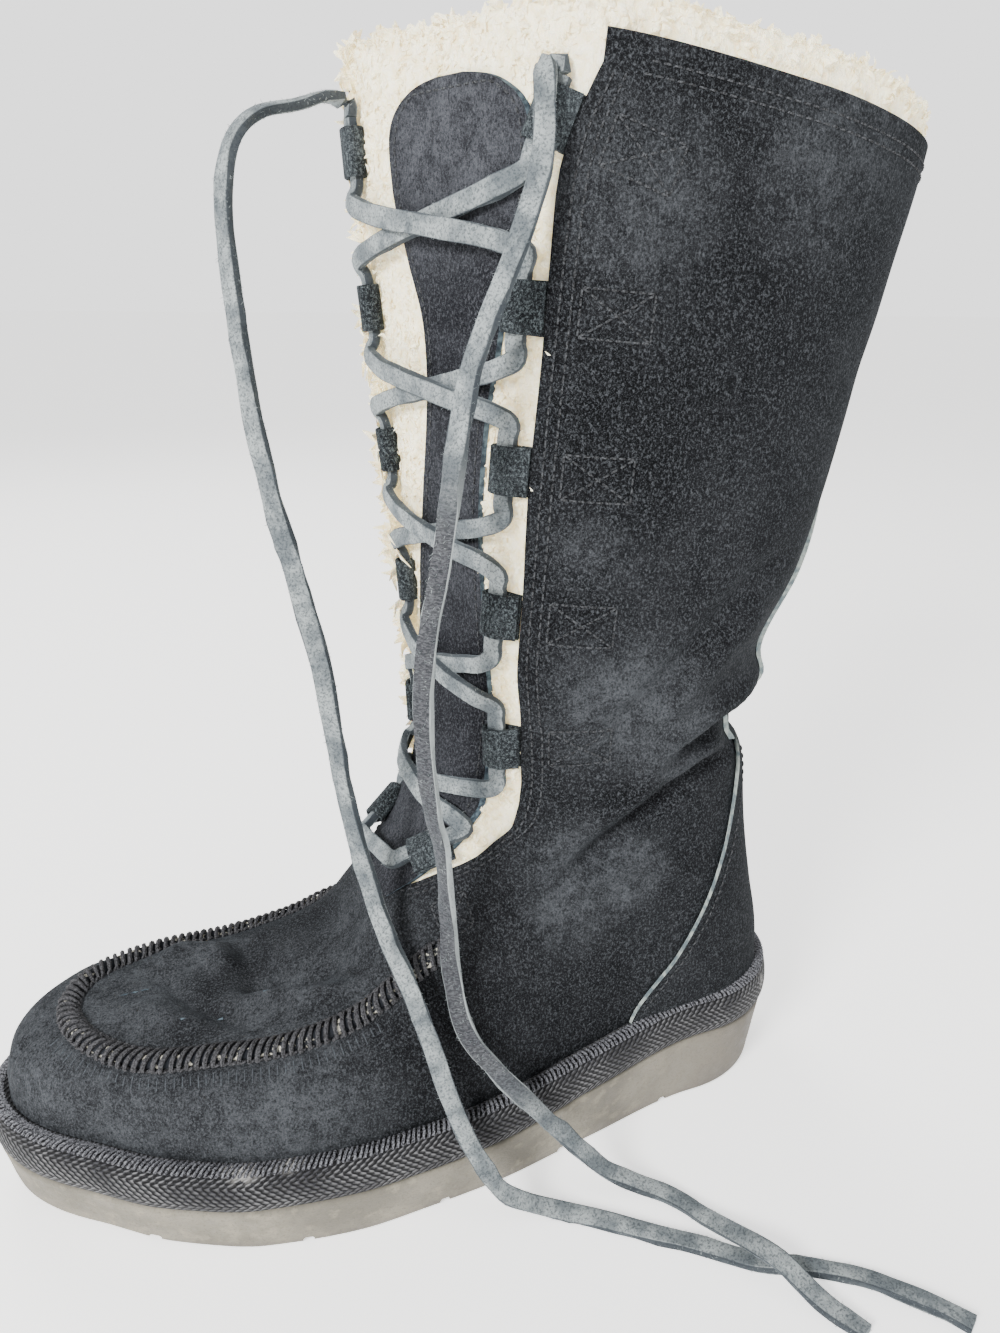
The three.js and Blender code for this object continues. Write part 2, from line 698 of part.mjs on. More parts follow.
// A flat lace through waypoints, as rings of four corners.
function flatLace(knots) {
  const steps = knots.length - 1;
  const path = new THREE.CatmullRomCurve3(knots.map((knot) => knot.place), false, "centripetal");
  const outs = new THREE.CatmullRomCurve3(knots.map((knot) => knot.out), false, "centripetal");
  const rings = [];
  for (let i = 0; i <= steps; i++) {
    const at = i / steps;
    const point = path.getPoint(at);
    const along = path.getTangent(at);
    const out = outs.getPoint(at);
    out.addScaledVector(along, -out.dot(along)).normalize();
    const across = vec().crossVectors(along, out);
    const corner = (u, v) =>
      point.clone().addScaledVector(across, (u * laceWidth) / 2).addScaledVector(out, (v * laceThickness) / 2);
    rings.push([corner(1, 1), corner(1, -1), corner(-1, -1), corner(-1, 1)]);
  }
  return solidFrom(lofted(rings));
}

function makeLace() {
  const [near, far] = [strand(1), strand(-1)];
  const bar = [near.at(-1), far.at(-1)].map((knot) => knot.place);
  const low = bar[0].clone().lerp(bar[1], 0.5);
  const { point, out } = frontOf(low.y, low.z - 4);
  const middle = { place: point.addScaledVector(out, laceLift + 1), out };
  return flatLace([...near, middle, ...far.reverse()]);
}

// The lace's two free ends, from the top loops down to the floor
const endOuter = [
  [76.5, 36.5, 334.5], [78, 41, 334], [79, 43.5, 327], [79.2, 43.8, 316], [84.4, 45, 298], [93.2, 45, 278],
  [98.9, 44.5, 262], [102.8, 44, 240], [106.1, 44, 218], [110.2, 43, 194], [111.7, 42, 171], [109, 41.5, 140],
  [106.7, 41.5, 130], [104.6, 41.5, 103], [104.2, 43, 85], [101.5, 47.5, 66], [93.5, 52.5, 53], [84, 57, 41],
  [70.5, 59.5, 24], [57, 65, 10], [39.6, 74.3, 3], [31.1, 90, 3.6], [24.1, 109.7, 7.6], [16.1, 126, 3.2],
  [11, 137, 2.8],
];
const endInner = [
  [107.5, -31, 334.5], [114, -30, 336.5], [124, -28, 333.5], [136, -24, 330], [144, -20, 322.5],
  [148, -16, 307.5], [148.3, -10, 282.5], [146.6, -4, 254.6], [143.4, 2, 228.3], [138.2, 7, 203.6],
  [133.5, 12, 178], [130.3, 17, 145], [126.6, 22, 120.6], [121.5, 33, 95], [119.5, 42, 89], [114.8, 49, 71],
  [108.5, 54, 46], [103, 59.5, 30], [93, 63, 12], [76.2, 66.7, 3.2], [58.6, 79.4, 2.6], [40.3, 93.8, 2.5],
  [27.5, 105, 2.4], [12.6, 112.9, 2.5], [-0.5, 122.2, 2.6], [-15.4, 138.5, 2.6], [-20, 146, 2.6],
];

function makeEnd(side, route) {
  const start = laceInLoop(loopPairs - 1, side, loopHeight / 2 + laceOut + seatGap).place;
  const next = laceInLoop(loopPairs - 1, side, loopHeight / 2 + laceOut + 2).place;
  const path = new THREE.CatmullRomCurve3([start, next, ...route.map((p) => vec(...p))], false, "centripetal");
  const corners = 8;
  const outline = [];
  for (let i = 0; i < corners; i++) {
    const angle = (i / corners) * 2 * Math.PI;
    outline.push(new THREE.Vector2(cordRadius * Math.cos(angle), cordRadius * Math.sin(angle)));
  }
  const options = { steps: cordSteps, bevelEnabled: false, extrudePath: path };
  return solidFrom(new THREE.ExtrudeGeometry(new THREE.Shape(outline), options));
}

const looks = {
  suede: { color: 0x262a32, roughness: 0.95 },
  trim: { color: 0x2f353e, roughness: 0.95 },
  braid: { color: 0x1b1c1f, roughness: 0.8 },
  fleece: { color: 0xe9dfc6, roughness: 1 },
  rubber: { color: 0x8c857d, roughness: 0.7 },
  lace: { color: 0x6d7880, roughness: 0.9 },
};
const group = new THREE.Group();
function addPart(name, solid, look) {
  const mesh = new THREE.Mesh(geometryOf(solid), new THREE.MeshStandardMaterial(looks[look]));
  mesh.name = name;
  group.add(mesh);
}

addPart("sole", makeSole(), "rubber");
addPart("welt_band", makeBand(), "braid");
addPart("upper", makeUpper(), "suede");
addPart("heel_counter", makeCounter(), "trim");
addPart("back_stay", makeStay(), "trim");
addPart("plug_seam", makeSeam(), "trim");
addPart("insole", makeInsole(), "fleece");
addPart("collar_lining", makeLining(), "fleece");
addPart("tongue", makeTongue(), "fleece");
addPart("tongue_panel", makePanel(), "suede");
for (let level = 0; level < loopPairs; level++) {
  addPart(`loop_outer_${level + 1}`, makeLoop(level, 1), "trim");
  addPart(`loop_inner_${level + 1}`, makeLoop(level, -1), "trim");
}
addPart("lace_crossings", makeLace(), "lace");
addPart("lace_end_outer", makeEnd(1, endOuter), "lace");
addPart("lace_end_inner", makeEnd(-1, endInner), "lace");

export default group;
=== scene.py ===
"""Looks of a left mukluk boot in suede with a fleece lining. Sizes are in millimetres until a mesh is made."""

import math

import bmesh
import bpy
import numpy as np
from mathutils import Matrix, Vector, noise
from mathutils.bvhtree import BVHTree


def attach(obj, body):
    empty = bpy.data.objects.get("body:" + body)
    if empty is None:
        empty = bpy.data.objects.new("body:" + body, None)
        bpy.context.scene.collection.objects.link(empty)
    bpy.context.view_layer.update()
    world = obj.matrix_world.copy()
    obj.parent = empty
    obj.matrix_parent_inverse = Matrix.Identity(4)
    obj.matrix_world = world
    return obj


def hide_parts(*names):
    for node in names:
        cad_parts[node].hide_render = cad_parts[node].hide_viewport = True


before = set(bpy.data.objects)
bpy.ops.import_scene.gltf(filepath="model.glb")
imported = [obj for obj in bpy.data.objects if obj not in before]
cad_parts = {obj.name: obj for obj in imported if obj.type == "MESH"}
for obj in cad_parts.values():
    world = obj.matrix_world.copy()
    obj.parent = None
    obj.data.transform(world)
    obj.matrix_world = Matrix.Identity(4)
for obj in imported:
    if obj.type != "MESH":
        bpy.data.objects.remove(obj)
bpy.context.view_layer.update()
MM = 0.001


random = np.random.default_rng(7)

# Sizes, as in the part's source
SOLE_LENGTH, HEEL_OVERHANG, BALL_WIDTH = 282, 38, 104
HEEL_ROUND, TOE_ROUND = 40, 55
HEEL_THICKNESS, BALL_THICKNESS, TOE_THINNING = 28, 18.5, 2
TOE_SPRING, SPRING_LENGTH = 5.5, 79
SOLE_DRAFT, SOLE_EDGE = 3, 1.5
GROOVE_WIDTH, GROOVE_DEPTH, GROOVE_SPACING, GROOVE_COUNT = 3.5, 2.4, 45, 5
UPPER_INSET, WALL, SIDE_BULGE, FOOT_SINK = 5.5, 2, 1.2, 12
TOE_HEIGHT, ANKLE_HEIGHT, ANKLE_WIDTH, ANKLE_FRONT = 65, 145, 79, 146
COLLAR_HEIGHT, COLLAR_TILT, COLLAR_DEPTH, COLLAR_WIDTH, COLLAR_FRONT = 336, 0.155, 160, 100, 133
FORM_REACH = 38
SEAT_GAP, BAND_HEIGHT = 0.3, 15
COUNTER, STAY_HALF, STAY_FLARE = 1.6, 7, 18
INSOLE, LINING, LINING_BOTTOM, FLEECE_STAND = 6, 8, 158, 9
THROAT_BOTTOM, THROAT_HALF, THROAT_DRIFT, THROAT_SLACK = 99, 39, 1, 0.7
TONGUE_DROP, TONGUE, TONGUE_TUCK, TONGUE_TOP, TONGUE_BOTTOM = 1.2, 8, 4.5, 350, 88
PANEL, PANEL_HALF, PANEL_TOP = 1.4, 24, 337
LOOP_PAIRS, LOWEST_LOOP, HIGHEST_LOOP = 6, 108, 322
LOOP_HEIGHT, LOOP_LENGTH, LOOP_LEATHER, BOTTOM_LOOP_LIFT = 14, 12, 1.3, 4
LACE_WIDTH, LACE_THICKNESS, LACE_CLEARANCE = 5.5, 2.8, 0.5
LACE_OUT, BOTTOM_LIFT, LACE_LIFT = 2, 1.5, 3.6
TOE_TIP = SOLE_LENGTH - HEEL_OVERHANG
# From the form's skin to just under the wall, the shaft's middle, higher than all of the boot, and its two sides
UNDER_WALL, SHAFT_MIDDLE, SKY = -WALL - SEAT_GAP, 15, 500
SIDES = {1: "outer", -1: "inner"}


def smooth(x, low, high):
    x = np.clip((np.asarray(x, float) - low) / (high - low), 0, 1)
    return x * x * (3 - 2 * x)


def lerp(a, b, share):
    return a + (b - a) * share


def unit(v):
    v = np.asarray(v, float)
    return v / np.maximum(np.linalg.norm(v, axis=-1, keepdims=True), 1e-12)


def distances(line):
    """How far along a line each of its points lies."""
    return np.concatenate([[0], np.cumsum(np.linalg.norm(np.diff(line, axis=0), axis=1))])


def curve_through(xs, ys):
    """A smooth curve through a table's rows that never overshoots them."""
    xs, ys = np.array(xs, float), np.array(ys, float)
    slopes = np.diff(ys) / np.diff(xs)
    before, after = slopes[:-1], slopes[1:]
    with np.errstate(divide="ignore", invalid="ignore"):
        inner = np.where(before * after <= 0, 0, 2 * before * after / (before + after))
    tangents = np.concatenate([slopes[:1], inner, slopes[-1:]])

    def curve(x):
        x = np.asarray(x, float)
        i = np.clip(np.searchsorted(xs, x, side="right") - 1, 0, len(xs) - 2)
        width = xs[i + 1] - xs[i]
        s = np.clip((x - xs[i]) / width, 0, 1)
        bend = tangents[i] * s * (1 - s) ** 2 - tangents[i + 1] * s * s * (1 - s)
        return ys[i] + (ys[i + 1] - ys[i]) * s * s * (3 - 2 * s) + width * bend

    return curve


def column(table, at, value):
    return curve_through([row[at] for row in table], [row[value] for row in table])


# The sole's outline: share of the length, share of half the ball width, swing of the middle line.
OUTLINE = [
    (0, 0.7, 0), (0.15, 0.7, 0), (0.32, 0.8, 0.02), (0.44, 0.9, 0.028), (0.55, 0.965, 0.018),
    (0.63, 1, 0.004), (0.73, 0.98, -0.03), (0.83, 0.885, -0.09), (0.91, 0.81, -0.14), (1, 0.77, -0.15),
]
half_share, swing_share = column(OUTLINE, 0, 1), column(OUTLINE, 0, 2)


def rounded_end(distance, length):
    """1 away from an end, falling to 0 at it along an ellipse."""
    return np.where(distance >= length, 1, np.sqrt(np.maximum(0, 1 - (1 - distance / length) ** 2)))


def outline_at(along, inset):
    """x, middle and half width at one place on the outline, drawn in by inset."""
    ends = rounded_end(along * SOLE_LENGTH, HEEL_ROUND) * rounded_end((1 - along) * SOLE_LENGTH, TOE_ROUND)
    x = inset - HEEL_OVERHANG + along * (SOLE_LENGTH - 2 * inset)
    return x, swing_share(along) * BALL_WIDTH, (half_share(along) * BALL_WIDTH / 2 - inset) * ends


def along_at(x, inset):
    """The share of the drawn-in outline's length at x."""
    return np.clip((x + HEEL_OVERHANG - inset) / (SOLE_LENGTH - 2 * inset), 0, 1)


def sole_bottom(x):
    return TOE_SPRING * (np.maximum(0, x - TOE_TIP + SPRING_LENGTH) / SPRING_LENGTH) ** 1.7


def sole_top(x):
    along = along_at(x, 0)
    wedge = 1 - smooth(along, 0.15, 0.55)
    return sole_bottom(x) + lerp(BALL_THICKNESS, HEEL_THICKNESS, wedge) - TOE_THINNING * smooth(along, 0.6, 1)


# Upright sections of the foot: share of the sole's length, crown as a share of the toe height, roundness.
VAMP = [
    (1, 0.66, 3), (0.989, 0.8, 3), (0.967, 0.89, 3), (0.933, 0.95, 3), (0.884, 0.99, 3.1),
    (0.816, 1, 3.1), (0.733, 1.02, 3), (0.657, 1.09, 2.9), (0.597, 1.21, 2.7),
]
# Sections that fan round to the shaft: front, front's rise, back, back's rise, half width, widest place, roundness.
TURN = [
    (1.095, 0.63, 0.532, None, 0.5, 0.6, 2.5), (1.04, 0.71, 0.433, None, 0.5, 0.62, 2.6),
    (0.985, 0.79, 0.312, None, 0.46, 0.62, 2.7), (0.95, 0.85, 0.184, None, 0.45, 0.6, 2.8),
    (0.935, 0.89, 0.085, None, 0.444, 0.58, 2.9), (0.925, 0.91, 0.03, None, 0.443, 0.565, 2.9),
    (0.92, 0.925, 0, 0.11, 0.443, 0.55, 2.9), (0.912, 0.95, 0.009, 0.36, 0.443, 0.52, 2.9),
    (0.903, 0.98, 0.029, 0.54, 0.45, 0.5, 2.9), (0.895, 1.02, 0.052, 0.745, 0.462, 0.5, 3),
    (0.89, 1.055, 0.064, 0.9, 0.48, 0.5, 3), (0.885, 1.08, 0.075, 0.955, 0.49, 0.5, 3),
    (0.882, 1.1, 0.092, 0.995, 0.5, 0.5, 3), (0.88, 1.14, 0.075, 1.055, 0.52, 0.5, 3.1),
]
# Level sections of the shaft: rise, front, back, half width, roundness.
SHAFT = [
    (0.17, -0.025, 0.29, 0.445, 3.2), (0.28, -0.02, 0.22, 0.455, 3.4), (0.42, -0.012, 0.168, 0.47, 3.7),
    (0.57, -0.006, 0.125, 0.48, 4), (0.76, 0, 0.07, 0.49, 4.3), (0.94, 0, 0.0125, 0.5, 4.6),
]
# How far a section runs back towards the outer side, for each millimetre across, by height.
SKEW = [(70, 0), (105, 0.16), (140, 0.25), (178, 0.22), (226, 0.28), (275, 0.36), (330, 0.46)]
skew_at = column(SKEW, 0, 1)


# Where the foot's and the shaft's sections are widest, and how round they are below that
FOOT_WIDEST, FOOT_LOW, SHAFT_WIDEST, SHAFT_LOW = 0.47, 2.5, 0.5, 2.3


def section_rows():
    """Each section's top x and z, foot x and z, half width, widest place, and roundness above and below that."""
    lowest = lambda x: float(sole_top(x)) - FOOT_SINK
    placed = lambda share: share * (SOLE_LENGTH - 2 * UPPER_INSET) + UPPER_INSET - HEEL_OVERHANG
    rows = []
    for along, crown, bulk in VAMP:
        x = placed(along)
        rows.append((x, crown * TOE_HEIGHT, x, lowest(x), 0, FOOT_WIDEST, bulk, FOOT_LOW))
    for front, front_rise, back, back_rise, half, widest, bulk in TURN:
        low = placed(back)
        low_z = lowest(low) if back_rise is None else back_rise * ANKLE_HEIGHT
        top = front * ANKLE_FRONT - HEEL_OVERHANG
        rows.append((top, front_rise * ANKLE_HEIGHT, low, low_z, half * ANKLE_WIDTH, widest, bulk, FOOT_LOW))
    front_x = COLLAR_FRONT - HEEL_OVERHANG
    for rise, front, back, half, bulk in SHAFT:
        z = lerp(ANKLE_HEIGHT, COLLAR_HEIGHT, rise)
        low = front_x - (1 - back) * COLLAR_DEPTH
        top = front_x + front * COLLAR_DEPTH
        rows.append((top, z, low, z, half * COLLAR_WIDTH, SHAFT_WIDEST, bulk, SHAFT_LOW))
    last, top = rows[-1], COLLAR_HEIGHT + FORM_REACH
    rows.append((last[0], top, last[2] - FORM_REACH / 5, top) + last[4:])
    return np.array(rows, float)


ROWS = section_rows()
LAST = len(ROWS) - 1
HEEL_STATION = len(VAMP) + [row[3] is None for row in TURN].index(False)
row_curves = [curve_through(np.arange(LAST + 1), ROWS[:, k]) for k in range(8)]


def side_points(station, turn, side):
    """Points of one side of the form's sections, for arrays of stations and turns of one shape."""
    top_x, top_z, low_x, low_z, half, widest, bulk, low = [curve(station) for curve in row_curves]
    _, middle, edge = outline_at(along_at(low_x, UPPER_INSET), UPPER_INSET)
    end = np.where(station < HEEL_STATION, edge, 0)
    half = np.maximum(half, end + np.minimum(SIDE_BULGE, end))
    top_middle = middle * (1 - smooth(station, len(VAMP) - 2, HEEL_STATION))
    angle = np.where(turn <= 1, turn, turn - 1) * math.pi / 2
    sine, cosine = np.clip(np.sin(angle), 0, 1), np.clip(np.cos(angle), 0, 1)
    down = sine ** (2 / low)
    upper = turn <= 1
    share = np.where(upper, widest * (1 - cosine ** (2 / bulk)), widest + (1 - widest) * down)
    lower_reach = np.maximum(0, half**low - (half**low - end**low) * down**low) ** (1 / low)
    reach = np.where(upper, half * sine ** (2 / bulk), lower_reach)
    y = lerp(top_middle, middle, share) + side * reach
    z = lerp(top_z, low_z, share)
    lean = skew_at(z) * (1 - smooth(share, 0.15, 0.75))
    return np.stack([lerp(top_x, low_x, share) - lean * y, y, z], axis=-1)


def even_turns(station, side, count):
    """Turns that lie evenly spaced along one side of a section."""
    fine = np.concatenate([1 - np.cos(np.linspace(0, math.pi / 2, 160)), 1 + np.linspace(0, 1, 120)[1:]])
    fine = np.unique(np.concatenate([fine, np.linspace(0, 1, 160) ** 2, 1 - np.linspace(0, 0.5, 60) ** 3]))
    line = side_points(np.full(len(fine), float(station)), fine, side)
    along = distances(line)
    return np.interp(np.linspace(0, along[-1], count), along, fine)


def welded(points, triangles):
    """The same skin with points in one place joined, and without the triangles that this flattens."""
    _, first, back = np.unique(np.round(points, 3), axis=0, return_index=True, return_inverse=True)
    triangles = back.reshape(-1)[triangles]
    a, b, c = triangles.T
    return points[first], triangles[(a != b) & (b != c) & (c != a)]


def ring_triangles(rings, count):
    """Triangles between closed rings of points, the part's own pattern."""
    i, j = np.meshgrid(np.arange(rings - 1), np.arange(count), indexing="ij")
    a, b = (i * count + j).ravel(), (i * count + (j + 1) % count).ravel()
    return np.concatenate([np.stack([a, b, a + count], 1), np.stack([b, b + count, a + count], 1)])


def cap_triangles(rings, count):
    """Triangles that close the first and last of rings that run along one edge and back along the other."""
    last, j = (rings - 1) * count, np.arange(count // 2 - 1)
    a, b, c, d = j, j + 1, count - 1 - j, count - 2 - j
    corners = (a, c, b), (b, c, d), (last + a, last + b, last + c), (last + b, last + d, last + c)
    return np.concatenate([np.stack(three, 1) for three in corners])


def point_normals(points, triangles):
    a, b, c = (points[triangles[:, k]] for k in range(3))
    face = np.cross(b - a, c - a)
    total = np.zeros_like(points)
    for k in range(3):
        for axis in range(3):
            total[:, axis] += np.bincount(triangles[:, k], face[:, axis], len(points))
    return unit(total)


def form_skin(stations, turns_for):
    """The form's skin: points, triangles, normals."""
    rings = []
    for station in stations:
        outer_turns, inner_turns = turns_for(station, 1), turns_for(station, -1)
        outer = side_points(np.full(len(outer_turns), float(station)), outer_turns, 1)
        inner = side_points(np.full(len(inner_turns), float(station)), inner_turns, -1)
        rings.append(np.concatenate([outer, inner[::-1]]))
    count = len(rings[0])
    triangles = np.concatenate([ring_triangles(len(rings), count), cap_triangles(len(rings), count)])
    points, triangles = welded(np.concatenate(rings), triangles)
    return points, triangles, point_normals(points, triangles)


def fine_stations(spacing):
    """Stations whose sections lie about this far apart."""
    found = [np.linspace(0, 1, 9)[:-1] ** 2]
    turns = np.array([0, 0.3, 0.6, 1, 1.5, 2])
    for i in range(1, LAST):
        step = side_points(np.full(6, i + 1.0), turns, 1) - side_points(np.full(6, float(i)), turns, 1)
        count = max(2, math.ceil(np.linalg.norm(step, axis=1).max() / spacing))
        found.append(i + np.arange(count) / count)
    return np.concatenate(found + [[LAST]])


def fine_skin(spacing, around):
    return form_skin(fine_stations(spacing), lambda station, side: even_turns(station, side, around))


COARSE_STATIONS = sorted(set(range(LAST + 1)) | {i + 0.5 for i in range(5, len(VAMP) + 2)})
COARSE_TURNS = np.array([0, 0.1, 0.25, 0.42, 0.6, 0.8, 1, 1.25, 1.5, 1.75, 2])
coarse_points, coarse_triangles, _ = form_skin(COARSE_STATIONS, lambda station, side: COARSE_TURNS)
coarse_tree = BVHTree.FromPolygons(coarse_points.tolist(), coarse_triangles.tolist())


# Rays to the form start this far in front of it, beside it and above the floor.
RAY_FRONT, RAY_SIDE, RAY_TOP = 400, 300, 150


def front_of(y, z):
    """The form's front at a place across and up: the point there, and the way out of the surface."""
    place, out, _, _ = coarse_tree.ray_cast(Vector((RAY_FRONT, y, z)), Vector((-1, 0, 0)))
    return np.array(place), np.array(out)


# Folds pressed into the leather. Each runs along a line drawn on the side (x, z) or from above (x, y), with a depth
# that is negative for a trough and positive for a ridge, how far it spreads to each side, and the side it is on.
SIDE_FOLDS = [
    ([(-40, 158), (-14, 153), (10, 152), (22, 146), (34, 134)], -5.4, 4.0, 1),
    ([(-30, 168), (-4, 163), (14, 158), (28, 150), (44, 136)], 4.2, 5.2, 1),
    ([(-6, 139), (14, 136), (27, 130), (40, 121), (52, 111), (66, 99)], -4.8, 3.6, 1),
    ([(0, 146), (16, 144), (30, 138), (44, 128), (56, 118)], 2.8, 5, 1),
    ([(-16, 212), (8, 199), (20, 188), (33, 175), (46, 160), (58, 136)], -2.6, 5, 1),
    ([(-6, 192), (12, 182), (24, 170), (36, 157)], 2.2, 5.4, 1),
    ([(42, 198), (50, 182), (60, 162), (68, 142)], -0.9, 7, 1),
    ([(8, 92), (18, 98), (34, 105), (46, 104), (60, 97)], 2.0, 3, 1),
    ([(10, 103), (28, 112), (44, 110), (62, 104)], -1.4, 3.4, 1),
    ([(56, 100), (74, 92), (92, 88), (104, 80)], -0.9, 6, 1),
    ([(60, 84), (78, 74), (96, 70)], 0.8, 7, 1),
    ([(-30, 156), (-8, 152), (12, 146), (28, 134)], -2.8, 6, -1),
    ([(-12, 164), (10, 158), (30, 146)], 2, 6, -1),
    ([(-4, 138), (20, 130), (44, 114), (62, 98)], -2, 6, -1),
    ([(-12, 205), (14, 190), (36, 168), (52, 146)], -1.5, 7, -1),
    ([(20, 104), (44, 108), (64, 98)], 1, 5, -1),
    ([(-44, 268), (-20, 262), (6, 266)], -0.7, 12, 1),
    ([(20, 240), (34, 262), (40, 300)], 0.7, 14, 1),
]
TOP_FOLDS = [
    ([(164, 4), (157, 11), (142, 20), (127, 29)], 3.7, 3.4),
    ([(165, -2), (156, 2), (146, 8), (132, 14)], -4.3, 5),
    ([(190, -22), (180, -28), (169, -22), (163, -10)], 4.3, 6),
    ([(158, -28), (160, -18), (158, -6), (158, 6)], -4.3, 5.5),
    ([(195, -22), (186, -12), (178, 4), (168, 16), (158, 24)], -2.2, 3),
    ([(200, -6), (190, 4), (178, 16)], 2.1, 5),
    ([(240, -10), (232, -9), (222, -11)], -2.6, 1.6),
    ([(140, -30), (128, -10), (126, 10)], -2.2, 8),
]


def line_distance(points, line):
    """Distance from points on a plane to a drawn line, and the share of its length at the nearest place."""
    line = np.array(line, float)
    lengths = np.linalg.norm(np.diff(line, axis=0), axis=1)
    starts = np.concatenate([[0], np.cumsum(lengths)])
    best, share = np.full(len(points), 1e9), np.zeros(len(points))
    for i, length in enumerate(lengths):
        step = line[i + 1] - line[i]
        t = np.clip(((points - line[i]) @ step) / length**2, 0, 1)
        away = np.linalg.norm(points - line[i] - t[:, None] * step, axis=1)
        nearer = away < best
        best = np.where(nearer, away, best)
        share = np.where(nearer, (starts[i] + t * length) / starts[-1], share)
    return best, share


def folds(points, normals):
    """How far the folds move each point of the form outwards."""
    x, y, z = points.T
    moved = np.zeros(len(points))

    def press(flat, line, depth, width, facing, rise, fall):
        away, share = line_distance(flat, line)
        fade = smooth(share, *rise) * (1 - smooth(share, *fall))
        return depth * np.exp(-((away / width) ** 2)) * facing * fade

    for line, depth, width, side in SIDE_FOLDS:
        facing = smooth(y * side, 2, 26)
        moved += press(points[:, [0, 2]], line, depth, width, facing, (-0.05, 0.22), (0.72, 1.05))
    for line, depth, width in TOP_FOLDS:
        facing = smooth(normals[:, 2], 0.1, 0.6) * smooth(x, 95, 120)
        moved += press(points[:, [0, 1]], line, depth, width, facing, (-0.08, 0.25), (0.75, 1.08))
    waves = np.sin(x * 0.055 + z * 0.031 + 0.6) * np.sin(z * 0.047 - x * 0.018 + y * 0.02)
    return moved + 0.5 * waves * smooth(z, 60, 110)


# The skins' spacing along the form, and how many points they have round each side
FINENESS = {"fine": (1.9, 96), "plain": (3.4, 56)}
skins = {}


def skin(fineness):
    if fineness not in skins:
        points, triangles, normals = fine_skin(*FINENESS[fineness])
        skins[fineness] = points + normals * folds(points, normals)[:, None], triangles, normals
    return skins[fineness]


# Meshes
def bare_object(name, points, faces):
    mesh = bpy.data.meshes.new(name)
    points = np.asarray(points, float) * MM
    mesh.from_pydata(points.tolist(), [], faces.tolist() if isinstance(faces, np.ndarray) else faces)
    made = bpy.data.objects.new(name, mesh)
    bpy.context.scene.collection.objects.link(made)
    return made


def right_way_out(made):
    mesh = bmesh.new()
    mesh.from_mesh(made.data)
    bmesh.ops.recalc_face_normals(mesh, faces=mesh.faces)
    mesh.to_mesh(made.data)
    mesh.free()
    return made


def form_solid(name, offset, fineness="fine", shift=(0, 0, 0)):
    points, triangles, normals = skin(fineness)
    return bare_object(name, points + normals * offset + np.array(shift), triangles)


def prism(name, axis, outline, low, high):
    """A straight solid with a drawn outline: (y, z) along x, (x, z) along y or (x, y) along z."""
    outline = np.array(outline, float)
    count = len(outline)
    ends = [np.insert(outline, {"x": 0, "y": 1, "z": 2}[axis], at, axis=1) for at in (low, high)]
    faces = [list(range(count)), list(range(2 * count - 1, count - 1, -1))]
    faces += [[i, count + i, count + (i + 1) % count, (i + 1) % count] for i in range(count)]
    return right_way_out(bare_object(name, np.concatenate(ends), faces))


def cut(target, cutter, operation="DIFFERENCE", keep=False):
    """Cuts, joins or trims target with cutter, which is then removed."""
    change = target.modifiers.new("cut", "BOOLEAN")
    change.operation, change.object, change.solver = operation, cutter, "MANIFOLD"
    bpy.context.view_layer.update()
    result = bpy.data.meshes.new_from_object(target.evaluated_get(bpy.context.evaluated_depsgraph_get()))
    target.modifiers.clear()
    old, target.data = target.data, result
    bpy.data.meshes.remove(old)
    if not keep:
        bpy.data.meshes.remove(cutter.data)
    if not len(result.vertices):
        raise ValueError(f"nothing of {target.name} is left")
    return target


def trim(target, *cutters):
    """Keeps only what lies in all the cutters."""
    for cutter in cutters:
        cut(target, cutter, "INTERSECT")


def values_of(items, attribute, kind=float):
    """An attribute of all of a mesh's points or faces, a row of three for each."""
    values = np.zeros(len(items) * 3, kind)
    items.foreach_get(attribute, values)
    return values.reshape(-1, 3)


def coordinates(made):
    return values_of(made.data.vertices, "co") / MM


def set_coordinates(made, points):
    made.data.vertices.foreach_set("co", (points * MM).ravel())
    made.data.update()


def mesh_normals(made):
    return values_of(made.data.vertex_normals, "vector")


def triangles_of(made):
    made.data.calc_loop_triangles()
    return values_of(made.data.loop_triangles, "vertices", kind=np.int32)


SHARP = math.radians(50)


def piece(made, look, replaces=(), edge=None):
    """Finishes a piece: its look, smooth faces, ride and the CAD nodes that it stands for. edge gives a second look,
    and a function that chooses its faces by their centres and normals."""
    made.data.materials.clear()
    made.data.materials.append(look)
    faces = made.data.polygons
    faces.foreach_set("use_smooth", np.full(len(faces), True))
    if edge is not None:
        made.data.materials.append(edge[0])
        chosen = edge[1](values_of(faces, "center") / MM, values_of(faces, "normal"))
        faces.foreach_set("material_index", chosen.astype(np.int32))
    made.data.set_sharp_from_angle(angle=SHARP)
    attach(made, "root")
    if replaces:
        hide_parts(*replaces)
    return made


def sweep(line, side, out, profile):
    """Points and faces of a profile drawn along a line. side and out are the profile's two directions there."""
    line, side, out = (np.asarray(v, float) for v in (line, side, out))
    profile = np.asarray(profile, float)
    if profile.ndim == 2:
        profile = np.repeat(profile[None], len(line), axis=0)
    rings = line[:, None] + side[:, None] * profile[..., :1] + out[:, None] * profile[..., 1:]
    n, m = rings.shape[:2]
    i, j = np.meshgrid(np.arange(n - 1), np.arange(m), indexing="ij")
    a, b = i * m + j, i * m + (j + 1) % m
    faces = np.stack([a, b, b + m, a + m], -1).reshape(-1, 4).tolist()
    return rings.reshape(-1, 3), faces + [list(range(m))[::-1], [(n - 1) * m + k for k in range(m)]]


def swept(name, line, side, out, profile):
    return right_way_out(bare_object(name, *sweep(line, side, out, profile)))


